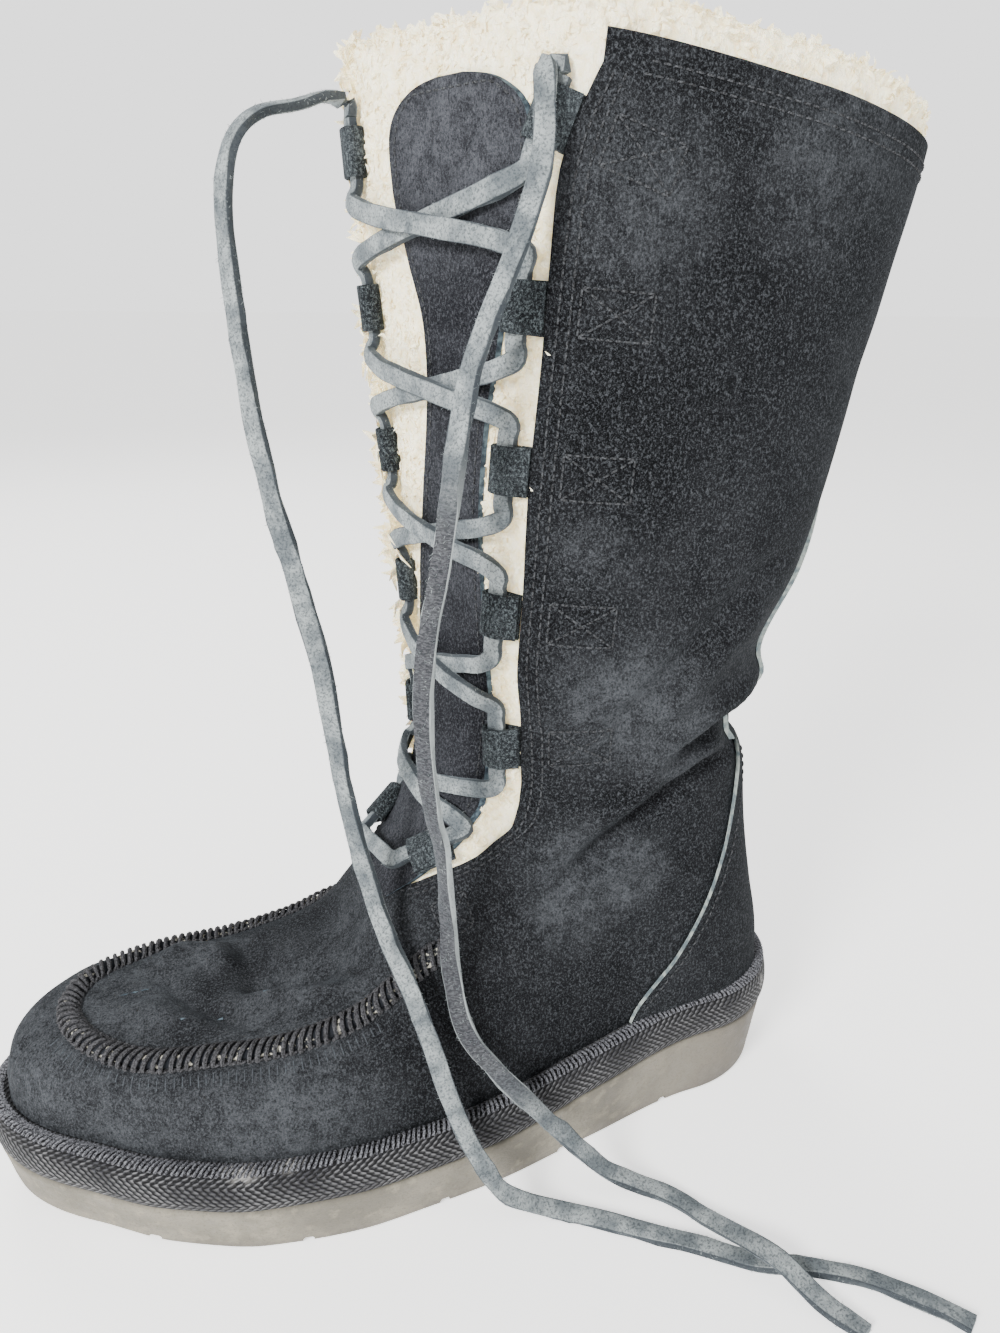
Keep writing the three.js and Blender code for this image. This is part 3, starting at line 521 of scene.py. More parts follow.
def joined(parts):
    """Several (points, faces) as one."""
    points, faces, start = [], [], 0
    for part_points, part_faces in parts:
        points.append(part_points)
        faces += [[start + k for k in face] for face in part_faces]
        start += len(part_points)
    return np.concatenate(points), faces


def repeated(points, face_list):
    """One shape in many places, its points given as places by points by 3."""
    count, size = points.shape[:2]
    faces = [[i * size + k for k in face] for i in range(count) for face in face_list]
    return points.reshape(-1, 3), faces


def details(name, parts, look, outward=False):
    """A piece that is made of many small shapes."""
    made = bare_object(name, *joined(parts))
    return piece(right_way_out(made) if outward else made, look)


def catmull(knots, per_span):
    """A centripetal curve through points, with this many steps to each span."""
    knots = np.asarray(knots, float)
    padded = np.concatenate([2 * knots[:1] - knots[1:2], knots, 2 * knots[-1:] - knots[-2:-1]])
    found = []
    for i in range(1, len(padded) - 2):
        p0, p1, p2, p3 = padded[i - 1 : i + 3]
        d0, d1, d2 = (max(np.linalg.norm(b - a) ** 0.5, 1e-4) for a, b in ((p0, p1), (p1, p2), (p2, p3)))
        t1 = ((p1 - p0) / d0 - (p2 - p0) / (d0 + d1) + (p2 - p1) / d1) * d1
        t2 = ((p2 - p1) / d1 - (p3 - p1) / (d1 + d2) + (p3 - p2) / d2) * d1
        s = (np.arange(per_span) / per_span)[:, None]
        found.append(p1 + t1 * s + (3 * (p2 - p1) - 2 * t1 - t2) * s**2 + (2 * (p1 - p2) + t1 + t2) * s**3)
    return np.concatenate(found + [knots[-1:]])


def evenly(line, step):
    along = distances(line)
    at = np.linspace(0, along[-1], max(2, round(along[-1] / step) + 1))
    return np.stack([np.interp(at, along, line[:, k]) for k in range(3)], axis=1)


def tangents_of(line):
    return unit(np.gradient(line, axis=0))


def squared_off(out, along):
    return unit(out - (out * along).sum(-1, keepdims=True) * along)


# The creased form, to lay things on
fine_points, fine_triangles, fine_normals = skin("fine")
fine_tree = BVHTree.FromPolygons(fine_points.tolist(), fine_triangles.tolist())


def snapped(points, lift=0.0):
    """The nearest places on the form, and the way out there."""
    places, outs = [], []
    for point in np.atleast_2d(points):
        place, _, index, _ = fine_tree.find_nearest(Vector(point))
        corners = fine_triangles[index]
        weights = 1 / (np.linalg.norm(fine_points[corners] - np.array(place), axis=1) + 0.05)
        out = unit((fine_normals[corners] * weights[:, None]).sum(0))
        places.append(np.array(place) + out * lift)
        outs.append(out)
    return np.array(places), np.array(outs)


def side_of(x, z, side):
    """The form's side at a place along and up."""
    place, _, _, _ = fine_tree.ray_cast(Vector((x, side * RAY_SIDE, z)), Vector((0, -side, 0)))
    return np.array(place)


def above(x, y):
    """The top of the foot at a place along and across."""
    place, _, _, _ = fine_tree.ray_cast(Vector((x, y, RAY_TOP)), Vector((0, 0, -1)))
    return np.array(place)


# Materials
class Look:
    """A material and short ways to add its nodes. Sizes in it are in millimetres."""

    def __init__(self, name):
        self.material = bpy.data.materials.new(name)
        self.material.use_nodes = True
        self.tree = self.material.node_tree
        self.tree.nodes.clear()
        coordinates = self.node("TexCoord")
        scaled = self.node("VectorMath", operation="SCALE")
        self.tree.links.new(coordinates.outputs["Object"], scaled.inputs[0])
        scaled.inputs["Scale"].default_value = 1 / MM
        self.place = scaled.outputs[0]
        self.uv = coordinates.outputs["UV"]

    def node(self, kind, **settings):
        made = self.tree.nodes.new("ShaderNode" + kind)
        for name, value in settings.items():
            setattr(made, name, value)
        return made

    def put(self, socket, value):
        if isinstance(value, bpy.types.NodeSocket):
            self.tree.links.new(value, socket)
        else:
            socket.default_value = value

    def math(self, operation, *values):
        made = self.node("Math", operation=operation)
        for socket, value in zip(made.inputs, values):
            self.put(socket, value)
        return made.outputs[0]

    def times(self, a, b):
        return self.math("MULTIPLY", a, b)

    def plus(self, a, b):
        return self.math("ADD", a, b)

    def larger(self, a, b):
        return self.math("MAXIMUM", a, b)

    def stretched(self, x, y, z):
        made = self.node("VectorMath", operation="MULTIPLY")
        self.put(made.inputs[0], self.place)
        made.inputs[1].default_value = (x, y, z)
        return made.outputs[0]

    def noise(self, size, detail, roughness=0.5, source=None, distortion=0):
        """Noise whose patches are about size across."""
        made = self.node("TexNoise")
        self.put(made.inputs["Vector"], source or self.place)
        made.inputs["Scale"].default_value = 1 / size
        made.inputs["Detail"].default_value = detail
        made.inputs["Roughness"].default_value = roughness
        made.inputs["Distortion"].default_value = distortion
        return made.outputs["Fac"]

    def band(self, value, low, high, to_low=0.0, to_high=1.0):
        made = self.node("MapRange", interpolation_type="SMOOTHSTEP")
        for socket, given in zip(made.inputs, (value, low, high, to_low, to_high)):
            self.put(socket, given)
        return made.outputs[0]

    def mix(self, share, a, b):
        made = self.node("Mix", data_type="RGBA")
        self.put(made.inputs[0], share)
        self.put(made.inputs[6], a)
        self.put(made.inputs[7], b)
        return made.outputs[2]

    def tint(self, colour, shade, value, *limits):
        """colour, turned to shade as value rises from the first limit to the second."""
        return self.mix(self.band(value, *limits), colour, shade)

    def spot(self, centre, radius, fade):
        """1 near a place and 0 beyond radius."""
        made = self.node("VectorMath", operation="DISTANCE")
        self.put(made.inputs[0], self.place)
        made.inputs[1].default_value = centre
        return self.band(made.outputs["Value"], radius * (1 - fade), radius, 1.0, 0.0)

    def axis(self, name, source=None):
        made = self.node("SeparateXYZ")
        self.put(made.inputs[0], source or self.place)
        return made.outputs[name]

    def bump(self, height, depth, strength, before=None):
        made = self.node("Bump")
        self.put(made.inputs["Height"], height)
        made.inputs["Distance"].default_value = depth * MM
        made.inputs["Strength"].default_value = strength
        if before is not None:
            self.put(made.inputs["Normal"], before)
        return made.outputs[0]

    def finish(self, colour, roughness=0.9, normal=None, sheen=0.0, sheen_tint=(1, 1, 1, 1), specular=0.3, **more):
        shader = self.node("BsdfPrincipled")
        self.put(shader.inputs["Base Color"], colour)
        self.put(shader.inputs["Roughness"], roughness)
        shader.inputs["Specular IOR Level"].default_value = specular
        shader.inputs["Sheen Weight"].default_value = sheen
        shader.inputs["Sheen Roughness"].default_value = 0.5
        shader.inputs["Sheen Tint"].default_value = sheen_tint
        for name, value in more.items():
            self.put(shader.inputs[name.replace("_", " ")], value)
        if normal is not None:
            self.put(shader.inputs["Normal"], normal)
        self.tree.links.new(shader.outputs[0], self.node("OutputMaterial").inputs[0])
        return self.material


def srgb(r, g, b):
    return tuple(((v / 255 + 0.055) / 1.055) ** 2.4 if v > 10 else v / 255 / 12.92 for v in (r, g, b)) + (1,)


# Where the suede is worn pale (the first list), and where painted shade darkens it in folds and hollows or it has
# darker patches (the second list): a place, how far it reaches and how much it changes the colour
WORN_SPOTS = [
    ((232, -6, 48), 46, 0.55), ((200, -10, 66), 44, 0.5), ((176, -24, 64), 26, 0.5), ((150, 12, 70), 34, 0.4),
    ((157, 10, 68), 9, 0.6), ((144, 18, 70), 10, 0.6), ((131, 26, 73), 10, 0.5), ((164, -24, 68), 12, 0.5),
    ((50, 37, 104), 9, 0.5), ((30, 35, 104), 9, 0.5), ((70, 38, 92), 10, 0.45), ((120, 8, 78), 42, 0.35),
    ((40, 34, 103), 22, 0.6), ((60, 34, 92), 22, 0.5), ((210, 34, 40), 50, 0.45), ((159, 42, 50), 44, 0.5),
    ((48, 41, 166), 34, 0.5), ((26, 38, 150), 24, 0.4), ((60, 44, 214), 20, 0.3), ((52, 46, 306), 30, 0.35),
    ((-6, 50, 318), 36, 0.35), ((62, 33, 112), 20, 0.4), ((-34, 12, 70), 30, 0.2), ((-50, 10, 300), 40, 0.25),
    ((-10, -46, 280), 50, 0.3), ((20, -46, 150), 40, 0.3),
]
# Painted shade in the folds and hollows, together with darker patches of the suede
SHADE_AND_DARK_SPOTS = [
    ((54, 46, 248), 46, 0.75), ((15, 46, 262), 40, 0.6), ((4, 34, 92), 34, 0.7), ((41, 35, 56), 26, 0.6),
    ((-12, 26, 120), 24, 0.6), ((99, 40, 66), 26, 0.5), ((60, 42, 196), 24, 0.4), ((-20, 40, 300), 30, 0.45),
    ((176, -4, 66), 12, 0.6), ((160, -14, 68), 12, 0.5), ((10, 38, 152), 14, 0.7), ((34, 36, 128), 14, 0.6),
    ((-30, 20, 60), 26, 0.5),
]
PANEL_SPOTS = [((92, 10, 318), 44, 0.6), ((96, 6, 220), 44, 0.3), ((104, 4, 120), 30, 0.5)]


def suede(name, dark, light, worn, spots):
    look = Look(name)
    broad = look.noise(46, 3, 0.55, distortion=0.6)
    middle = look.noise(13, 4, 0.6, distortion=0.8)
    small = look.noise(3.4, 4, 0.65)
    mottle = look.plus(look.times(broad, 0.5), look.times(middle, 0.5))
    colour = look.tint(dark, light, mottle, 0.38, 0.66, 0.08, 0.75)
    colour = look.tint(colour, light, small, 0.52, 0.75, 0, 0.35)
    wear = None
    for centre, radius, amount in spots:
        here = look.times(look.spot(centre, radius, 0.8), amount)
        wear = here if wear is None else look.larger(wear, here)
    if wear is not None:
        patchy = look.band(look.plus(look.times(middle, 0.45), look.times(small, 0.55)), 0.38, 0.66)
        colour = look.mix(look.times(wear, look.plus(look.times(patchy, 0.75), 0.25)), colour, worn)
    nap = look.noise(0.72, 3, 0.7, look.stretched(1, 1, 0.8))
    speck = look.noise(0.32, 2, 0.6)
    # Painted shade: the suede darkened in folds and hollows, and in darker patches
    for centre, radius, amount in SHADE_AND_DARK_SPOTS:
        colour = look.mix(look.times(look.spot(centre, radius, 0.85), amount), colour, dark)
    colour = look.tint(colour, worn, nap, 0.48, 0.7, 0, 0.52)
    colour = look.tint(colour, dark, nap, 0.3, 0.5, 0.75, 0)
    colour = look.tint(colour, worn, speck, 0.52, 0.76, 0, 0.5)
    colour = look.tint(colour, dark, speck, 0.28, 0.46, 0.7, 0)
    rough = look.bump(speck, 0.12, 0.8, look.bump(nap, 0.3, 0.8, look.bump(small, 0.45, 0.6)))
    return look.finish(colour, 0.95, rough, sheen=0.03, sheen_tint=(0.5, 0.6, 0.7, 1), specular=0.06)


suede_look = suede("suede", srgb(5, 5, 6), srgb(32, 33, 35), srgb(80, 83, 87), WORN_SPOTS)
trim_look = suede("suede_trim", srgb(12, 13, 15), srgb(60, 64, 67), srgb(108, 117, 120), [])
panel_look = suede("suede_panel", srgb(11, 11, 14), srgb(40, 41, 45), srgb(82, 84, 89), PANEL_SPOTS)


def cut_edge(name, patch, dark, light):
    """The cut edge of the leather, in patches of this size."""
    look = Look(name)
    colour = look.tint(dark, light, look.noise(patch, 4), 0.35, 0.65)
    return look.finish(colour, 0.95, look.bump(look.noise(0.5, 3), 0.15, 0.8), specular=0.15)


def fleece():
    look = Look("fleece")
    clumped = look.noise(3.2, 4, 0.6, distortion=0.5)
    strands = look.noise(0.5, 3, 0.6, look.stretched(1, 1, 0.4))
    broad = look.noise(24, 3, 0.5)
    colour = look.tint(srgb(234, 218, 176), srgb(255, 248, 222), clumped, 0.3, 0.62)
    colour = look.tint(colour, srgb(242, 230, 196), broad, 0.5, 0.75, 0, 0.35)
    top = look.band(look.axis("Z"), 338, 362, 0, 0.3)
    colour = look.mix(look.times(top, look.band(clumped, 0.45, 0.6)), colour, srgb(196, 164, 128))
    colour = look.tint(colour, srgb(214, 198, 160), strands, 0.3, 0.45, 0.35, 0)
    rough = look.bump(strands, 0.3, 0.8, look.bump(clumped, 1.4, 0.9))
    # The fleece also glows faintly: painted light that makes it brighter than the lamps alone would
    return look.finish(
        colour, 1.0, rough, sheen=0.25, specular=0.05, Subsurface_Weight=0.12, Subsurface_Scale=0.004,
        Emission_Color=srgb(255, 240, 194), Emission_Strength=0.36,
    )


def rubber():
    look = Look("rubber")
    broad, middle, small = look.noise(30, 4, 0.6), look.noise(6, 4, 0.6), look.noise(0.8, 3, 0.6)
    colour = look.tint(srgb(100, 96, 86), srgb(128, 123, 110), broad, 0.35, 0.65)
    colour = look.tint(colour, srgb(146, 140, 124), middle, 0.5, 0.68, 0, 0.5)
    streaks = look.noise(5, 4, 0.6, look.stretched(1, 1, 5))
    colour = look.tint(colour, srgb(96, 92, 88), streaks, 0.56, 0.72, 0, 0.35)
    colour = look.tint(colour, srgb(88, 84, 80), look.axis("Z"), 0.5, 4.0, 0.45, 0)
    colour = look.tint(colour, srgb(84, 80, 74), small, 0.5, 0.72, 0, 0.5)
    # Painted shade: the sole darker towards the heel, as the lamps light the toe's side more
    colour = look.tint(colour, srgb(84, 79, 73), look.axis("X"), -34, 70, 0.75, 0)
    rough = look.bump(small, 0.25, 0.8, look.bump(middle, 0.4, 0.6))
    return look.finish(colour, look.band(middle, 0.3, 0.7, 0.6, 0.85), rough, specular=0.3)


def woven(name, row_width, twill, rib):
    """Herringbone tape. The piece's UV is in millimetres along and across."""
    look = Look(name)
    along, across = look.axis("X", look.uv), look.axis("Y", look.uv)
    slanted = look.plus(along, look.times(look.math("PINGPONG", across, row_width), 1.15))
    wave = look.math("SINE", look.times(slanted, 2 * math.pi / twill))
    cross = look.math("SINE", look.times(across, 2 * math.pi / rib))
    height = look.plus(look.plus(look.times(wave, 0.36), 0.5), look.times(cross, 0.16))
    worn, fibre = look.noise(16, 4, 0.6), look.noise(0.6, 3, 0.6)
    pale = look.tint(srgb(50, 50, 54), srgb(100, 100, 102), worn, 0.4, 0.65)
    colour = look.tint(srgb(5, 5, 7), pale, height, 0.55, 0.95)
    colour = look.tint(colour, srgb(84, 86, 92), fibre, 0.55, 0.75, 0, 0.4)
    rubbed = look.larger(look.spot((171, 42, 36), 9, 0.6), look.spot((158, 45, 37), 8, 0.6))
    rubbed = look.larger(rubbed, look.spot((-28, 30, 38), 5, 0.6))
    patch = look.times(rubbed, look.band(look.noise(3, 4, 0.6), 0.4, 0.55))
    colour = look.mix(patch, colour, srgb(168, 166, 162))
    rough = look.bump(height, 0.55, 0.9, look.bump(fibre, 0.12, 0.5))
    return look.finish(colour, 0.85, rough, sheen=0.1, specular=0.2)


def thread(name, dark, light):
    look = Look(name)
    twist = look.noise(0.5, 2, 0.5)
    return look.finish(look.tint(dark, light, twist, 0.35, 0.65), 0.75, look.bump(twist, 0.1, 0.6), specular=0.3)


def lace_look(name, darkened=None):
    """A suede thong with darker, hairy edges. Its UV across is 0 on a face and 1 on an edge, and where darkened gives
    two heights the faces are darker between them."""
    look = Look(name)
    middle, small = look.noise(9, 4, 0.6), look.noise(0.7, 3, 0.65)
    colour = look.tint(srgb(88, 94, 97), srgb(138, 144, 144), middle, 0.35, 0.65)
    colour = look.tint(colour, srgb(50, 55, 59), small, 0.46, 0.64, 0, 0.7)
    edge = look.axis("Y", look.uv)
    colour = look.tint(colour, srgb(40, 44, 49), edge, 0.35, 0.95, 0, 0.9)
    if darkened:
        low, high = darkened
        height = look.axis("Z")
        share = look.times(look.band(height, low, low + 40), look.band(height, high - 30, high, 1.0, 0.0))
        grain = look.noise(1.1, 3, 0.6, look.stretched(1, 1, 2.5))
        face = look.tint(srgb(34, 34, 37), srgb(70, 70, 74), grain, 0.4, 0.62)
        face = look.tint(face, srgb(138, 144, 144), edge, 0.5, 0.8)
        colour = look.mix(look.times(share, 0.92), colour, face)
    rough = look.bump(small, 0.2, 0.8, look.bump(middle, 0.3, 0.3))
    return look.finish(colour, 0.95, rough, sheen=0.2, sheen_tint=(0.6, 0.7, 0.75, 1), specular=0.12)


edge_look = cut_edge("raw_edge", 2.5, srgb(96, 108, 112), srgb(158, 166, 160))
trim_edge_look = cut_edge("dark_edge", 2.0, srgb(40, 48, 56), srgb(84, 98, 106))
fleece_look, rubber_look = fleece(), rubber()
band_look = woven("braid", row_width=6.5, twill=2.47, rib=1.365)
cord_look, outer_cord_look = lace_look("lace"), lace_look("lace_outer", (20, 250))
stitch_look = thread("stitch", srgb(8, 8, 10), srgb(62, 64, 67))
whip_look = thread("whip_thread", srgb(10, 10, 12), srgb(66, 66, 69))
serge_look = thread("serge_thread", srgb(34, 34, 38), srgb(108, 109, 114))
mark_look = thread("pull_marks", srgb(36, 39, 43), srgb(60, 65, 70))


# Camera, floor and light
EYE = np.array([189.17, 295.46, 279.27])
TURNED, PITCH, ROLL, LENS = 0.37771, 0.33776, 0.00837, 27.5
camera_data = bpy.data.cameras.new("camera")
camera_data.lens, camera_data.clip_start = LENS, 0.01
camera = bpy.data.objects.new("camera", camera_data)
bpy.context.scene.collection.objects.link(camera)
bpy.context.scene.camera = camera
ahead = -np.array([math.sin(TURNED), math.cos(TURNED), 0.0])
right, up = np.cross(ahead, [0, 0, 1]), np.array([0, 0, 1.0])
ahead, up = math.cos(PITCH) * ahead - math.sin(PITCH) * up, math.sin(PITCH) * ahead + math.cos(PITCH) * up
right, up = math.cos(ROLL) * right + math.sin(ROLL) * up, math.cos(ROLL) * up - math.sin(ROLL) * right
turned = np.stack([right, up, -ahead], 1).tolist()
camera.matrix_world = Matrix([[*row, at] for row, at in zip(turned, EYE * MM)] + [[0, 0, 0, 1]])

FLOOR_REACH, FLOOR_GLOW = 60000, 1.15
floor_corners = [(-FLOOR_REACH, -FLOOR_REACH, 0), (FLOOR_REACH, -FLOOR_REACH, 0),
                 (FLOOR_REACH, FLOOR_REACH, 0), (-FLOOR_REACH, FLOOR_REACH, 0)]
floor = bare_object("floor", floor_corners, [[0, 1, 2, 3]])
floor.data.materials.append(Look("floor").finish(
    srgb(244, 243, 241), 0.9, specular=0.05, Emission_Color=(1, 1, 1, 1), Emission_Strength=FLOOR_GLOW,
))

# The backdrop looks brighter than the light that it gives.
WORLD_LIGHT, WORLD_SEEN = 0.85, 1.98
world = bpy.data.worlds.new("world")
bpy.context.scene.world = world
world.use_nodes = True
backdrop = world.node_tree.nodes["Background"]
backdrop.inputs[0].default_value = (1, 1, 1, 1)
rays = world.node_tree.nodes.new("ShaderNodeLightPath")
strength = world.node_tree.nodes.new("ShaderNodeMapRange")
strength.inputs["To Min"].default_value, strength.inputs["To Max"].default_value = WORLD_LIGHT, WORLD_SEEN
world.node_tree.links.new(rays.outputs["Is Camera Ray"], strength.inputs["Value"])
world.node_tree.links.new(strength.outputs[0], backdrop.inputs["Strength"])


def light(name, place, aim, size, power):
    """A round lamp; place, aim and size are in metres."""
    data = bpy.data.lights.new(name, "AREA")
    data.size, data.energy, data.shape = size, power, "DISK"
    made = bpy.data.objects.new(name, data)
    bpy.context.scene.collection.objects.link(made)
    made.location = place
    made.rotation_euler = (Vector(aim) - Vector(place)).to_track_quat("-Z", "Y").to_euler()


light("key", (1.1, 0.75, 0.85), (0.05, 0, 0.16), 0.45, 40)
light("fill", (-0.9, 1.0, 0.7), (0.05, 0, 0.18), 0.9, 8)
light("back", (0.3, -1.2, 1.3), (0.05, 0, 0.2), 0.9, 16)


# The throat's edges: share of its height, share of its half width, drift to the outer side
THROAT = [
    (0, 0.28, 0), (0.025, 0.49, 0), (0.06, 0.63, 0), (0.16, 0.7, 0), (0.33, 0.77, 0.05),
    (0.53, 0.86, 0.4), (0.73, 0.93, 0.6), (1, 1, 1),
]
# The outer edge leans back between these heights, by so much at the upper one.
LEAN, LEAN_LOW, LEAN_HIGH = 6, 306, 362
throat_share, drift_share = column(THROAT, 0, 1), column(THROAT, 0, 2)


def throat_place(z):
    return np.clip((z - THROAT_BOTTOM) / (COLLAR_HEIGHT - THROAT_BOTTOM), 0, 1)


def throat_edge(z, side):
    edge = drift_share(throat_place(z)) * THROAT_DRIFT + side * throat_share(throat_place(z)) * THROAT_HALF
    return edge + (LEAN * smooth(z, LEAN_LOW, LEAN_HIGH) if side > 0 else 0)


def loop_frame(level, side):
    """Where a loop stands on the throat's edge, and its three directions: up the edge, over the opening, outwards."""
    z = lerp(LOWEST_LOOP, HIGHEST_LOOP, level / (LOOP_PAIRS - 1))
    y = throat_edge(z, side)
    point, _ = front_of(y, z)
    above_it, _ = front_of(throat_edge(z + 4, side), z + 4)
    below_it, _ = front_of(throat_edge(z - 4, side), z - 4)
    rising = unit(above_it - below_it)
    inward = squared_off(front_of(y - side * LOOP_LENGTH, z)[0] - point, rising)
    out = unit(np.cross(inward, rising))
    return point, rising, inward, -out if out[0] < 0 else out


SLOT_DEPTH, SLOT_LENGTH = LACE_THICKNESS + 2 * LACE_CLEARANCE, LACE_WIDTH + 2 * LACE_CLEARANCE
LOOP_BASE = -TONGUE_DROP + SEAT_GAP


def lace_in_loop(level, side, rise):
    """A place on the lace inside a loop or just out of it, and the way out there."""
    point, rising, inward, out = loop_frame(level, side)
    base = LOOP_BASE + (BOTTOM_LOOP_LIFT if level == 0 else 0)
    middle = LOOP_LENGTH - LOOP_LEATHER - SLOT_LENGTH / 2
    place = point + inward * middle + out * (base + LOOP_LEATHER + SLOT_DEPTH / 2) + rising * rise
    return place, out


def lace_beside(level, side, rise):
    """A place on the lace next to a loop, clear of the tongue below it."""
    place, out = lace_in_loop(level, side, rise)
    point, facing = front_of(place[1], place[2])
    lifted = point + facing * (LACE_LIFT + (BOTTOM_LIFT if level == 0 else 0))
    return (lifted, facing) if lifted[0] > place[0] else (place, out)


# Where a crossing has its knots, and how far the upper and the lower thong stand off their line there
CROSS_SHARES = [0.17, 0.33, 0.5, 0.67, 0.83]
OVER, UNDER = 2.1, -0.8


def strand(start_side):
    """The knots of one of the two thongs, from its top loop down, with the way out at each."""
    knots = []
    for level in range(LOOP_PAIRS - 1, -1, -1):
        side = start_side if (LOOP_PAIRS - 1 - level) % 2 == 0 else -start_side
        half = LOOP_HEIGHT / 2 + LACE_OUT
        knots += [lace_in_loop(level, side, rise) for rise in (half, 0, -half)]
        start = lace_beside(level, side, -half - LACE_WIDTH * 0.7)
        knots.append(start)
        if level > 0:
            end = lace_beside(level - 1, -side, half + LACE_WIDTH * 0.7)
            shift = OVER if (start_side > 0) == (level % 2 == 0) else UNDER
            for share in CROSS_SHARES:
                flat = lerp(start[0], end[0], share)
                across = lerp(start[0][1], end[0][1], float(smooth(share, 0.0, 1.0)))
                point, out = front_of(lerp(flat[1], across, 0.75), flat[2])
                knots.append((point + out * (LACE_LIFT + shift * math.sin(math.pi * share) ** 2), out))
            knots.append(end)
    return knots


# The free ends' routes, from the top loops to the tips on the floor
END_OUTER = [
    (76.5, 36.5, 334.5), (78, 41, 334), (79, 43.5, 327), (79.2, 43.8, 316), (84.4, 45, 298), (93.2, 45, 278),
    (98.9, 44.5, 262), (102.8, 44, 240), (106.1, 44, 218), (110.2, 43, 194), (111.7, 42, 171), (109, 41.5, 140),
    (106.7, 41.5, 130), (104.6, 41.5, 103), (104.2, 43, 85), (101.5, 47.5, 66), (93.5, 52.5, 53), (84, 57, 41),
    (70.5, 59.5, 24), (57, 65, 10), (39.6, 74.3, 3), (31.1, 90, 3.6), (24.1, 109.7, 7.6), (16.1, 126, 3.2),
    (11, 137, 2.8),
]
END_INNER = [
    (107.5, -31, 334.5), (114, -30, 336.5), (124, -28, 333.5), (136, -24, 330), (144, -20, 322.5),
    (148, -16, 307.5), (148.3, -10, 282.5), (146.6, -4, 254.6), (143.4, 2, 228.3), (138.2, 7, 203.6),
    (133.5, 12, 178), (130.3, 17, 145), (126.6, 22, 120.6), (121.5, 33, 95), (119.5, 42, 89), (114.8, 49, 71),
    (108.5, 54, 46), (103, 59.5, 30), (93, 63, 12), (76.2, 66.7, 3.2), (58.6, 79.4, 2.6), (40.3, 93.8, 2.5),
    (27.5, 105, 2.4), (12.6, 112.9, 2.5), (-0.5, 122.2, 2.6), (-15.4, 138.5, 2.6), (-20, 146, 2.6),
]
# Which way the wide face of a free end looks, by share of its length
FACING_OUTER = [(0, (1, 0.1, 0)), (0.05, (0.3, 0.9, 0.4)), (0.16, (0.9, 0.5, 0)), (0.3, (0.55, 0.85, 0.1)),
                (0.42, (0.75, 0.7, 0)), (0.52, (0.95, 0.3, 0.1)), (0.62, (0.4, 0.9, 0.3)), (0.74, (0.2, 0.6, 0.8)),
                (0.84, (0, 0.2, 1)), (0.93, (0.5, 0.2, 0.9)), (1, (0, 0, 1))]
FACING_INNER = [(0, (1, 0, 0.1)), (0.05, (0.3, 0.3, 1)), (0.12, (0.9, 0.4, 0.5)), (0.2, (0.8, 0.7, 0.1)),
                (0.34, (0.35, 0.95, 0.1)), (0.46, (0.8, 0.6, 0.1)), (0.58, (0.3, 0.95, 0.2)),
                (0.7, (0.1, 0.9, 0.5)), (0.8, (0, 0.4, 0.9)), (0.9, (-0.2, 0.1, 1)), (1, (0, 0, 1))]


# Nothing of the lace comes nearer the floor than this.
FLOOR_GAP = 0.05


def flat_strip(name, line, out, wobble=0.25):
    """The flat thong along a line, its corners a little soft and its edges a little uneven."""
    along = tangents_of(line)
    out = squared_off(out, along)
    side = np.cross(along, out)
    half, deep, corner, crown = LACE_WIDTH / 2, LACE_THICKNESS / 2, 0.42, 0.12
    profile = [
        (half, deep - corner), (half - corner, deep), (0, deep + crown), (corner - half, deep),
        (-half, deep - corner), (-half, corner - deep), (corner - half, -deep), (0, -deep - crown),
        (half - corner, -deep), (half, corner - deep),
    ]
    on_edge, corners = {0, 4, 5, 9}, len(profile)
    profile = np.repeat(np.array(profile)[None], len(line), axis=0)
    t = np.arange(len(line))
    for k in range(corners):
        rough = np.interp(t, t[::3], random.normal(0, wobble, len(t[::3])))
        profile[:, k, 0] += rough * (np.abs(profile[:, k, 0]) > half - corner - 0.01)
        profile[:, k, 1] += np.interp(t, t[::4], random.normal(0, wobble * 0.35, len(t[::4])))
    points, faces = sweep(line, side, out, profile)
    points[:, 2] = np.maximum(points[:, 2], FLOOR_GAP)
    made = bare_object(name, points, faces)
    uv = made.data.uv_layers.new(name="across")
    values = np.array([[0, 1.0 if loop.vertex_index % corners in on_edge else 0.0] for loop in made.data.loops])
    uv.data.foreach_set("uv", values.ravel())
    return right_way_out(made)


def free_end(name, side, route, facing, node):
    """A free end, drawn as a flat thong and declared as a cord."""
    start, _ = lace_in_loop(LOOP_PAIRS - 1, side, LOOP_HEIGHT / 2 + LACE_OUT + SEAT_GAP)
    following, _ = lace_in_loop(LOOP_PAIRS - 1, side, LOOP_HEIGHT / 2 + LACE_OUT + 2)
    line = evenly(catmull([start, following, *route], 12), 2.4)
    line[:, 2] -= (1 - smooth(line[:, 2], 2.2, 9)) * 0.8
    shares = np.linspace(0, 1, len(line))
    keys = np.array([key for key, _ in facing])
    out = unit(np.stack([np.interp(shares, keys, [v[k] for _, v in facing]) for k in range(3)], 1))
    made = flat_strip(name, line, out)
    piece(made, outer_cord_look if side > 0 else cord_look, [node])


free_end("lace_free_outer", 1, END_OUTER, FACING_OUTER, "lace_end_outer")
free_end("lace_free_inner", -1, END_INNER, FACING_INNER, "lace_end_inner")

# The crossing lace
near_strand, far_strand = strand(1), strand(-1)
low = lerp(near_strand[-1][0], far_strand[-1][0], 0.5)
bar_point, bar_out = front_of(low[1], low[2] - 4)
lace_knots = near_strand + [(bar_point + bar_out * (LACE_LIFT + 1), bar_out)] + far_strand[::-1]
lace_line = catmull([place for place, _ in lace_knots], 5)
lace_out = catmull([out for _, out in lace_knots], 5)
piece(flat_strip("lace_through_loops", lace_line, lace_out, 0.2), cord_look, ["lace_crossings"])


# Cutting shapes, which all reach well past the boot
THROAT_BACK, THROAT_FRONT, FLANK = 30, 260, 150


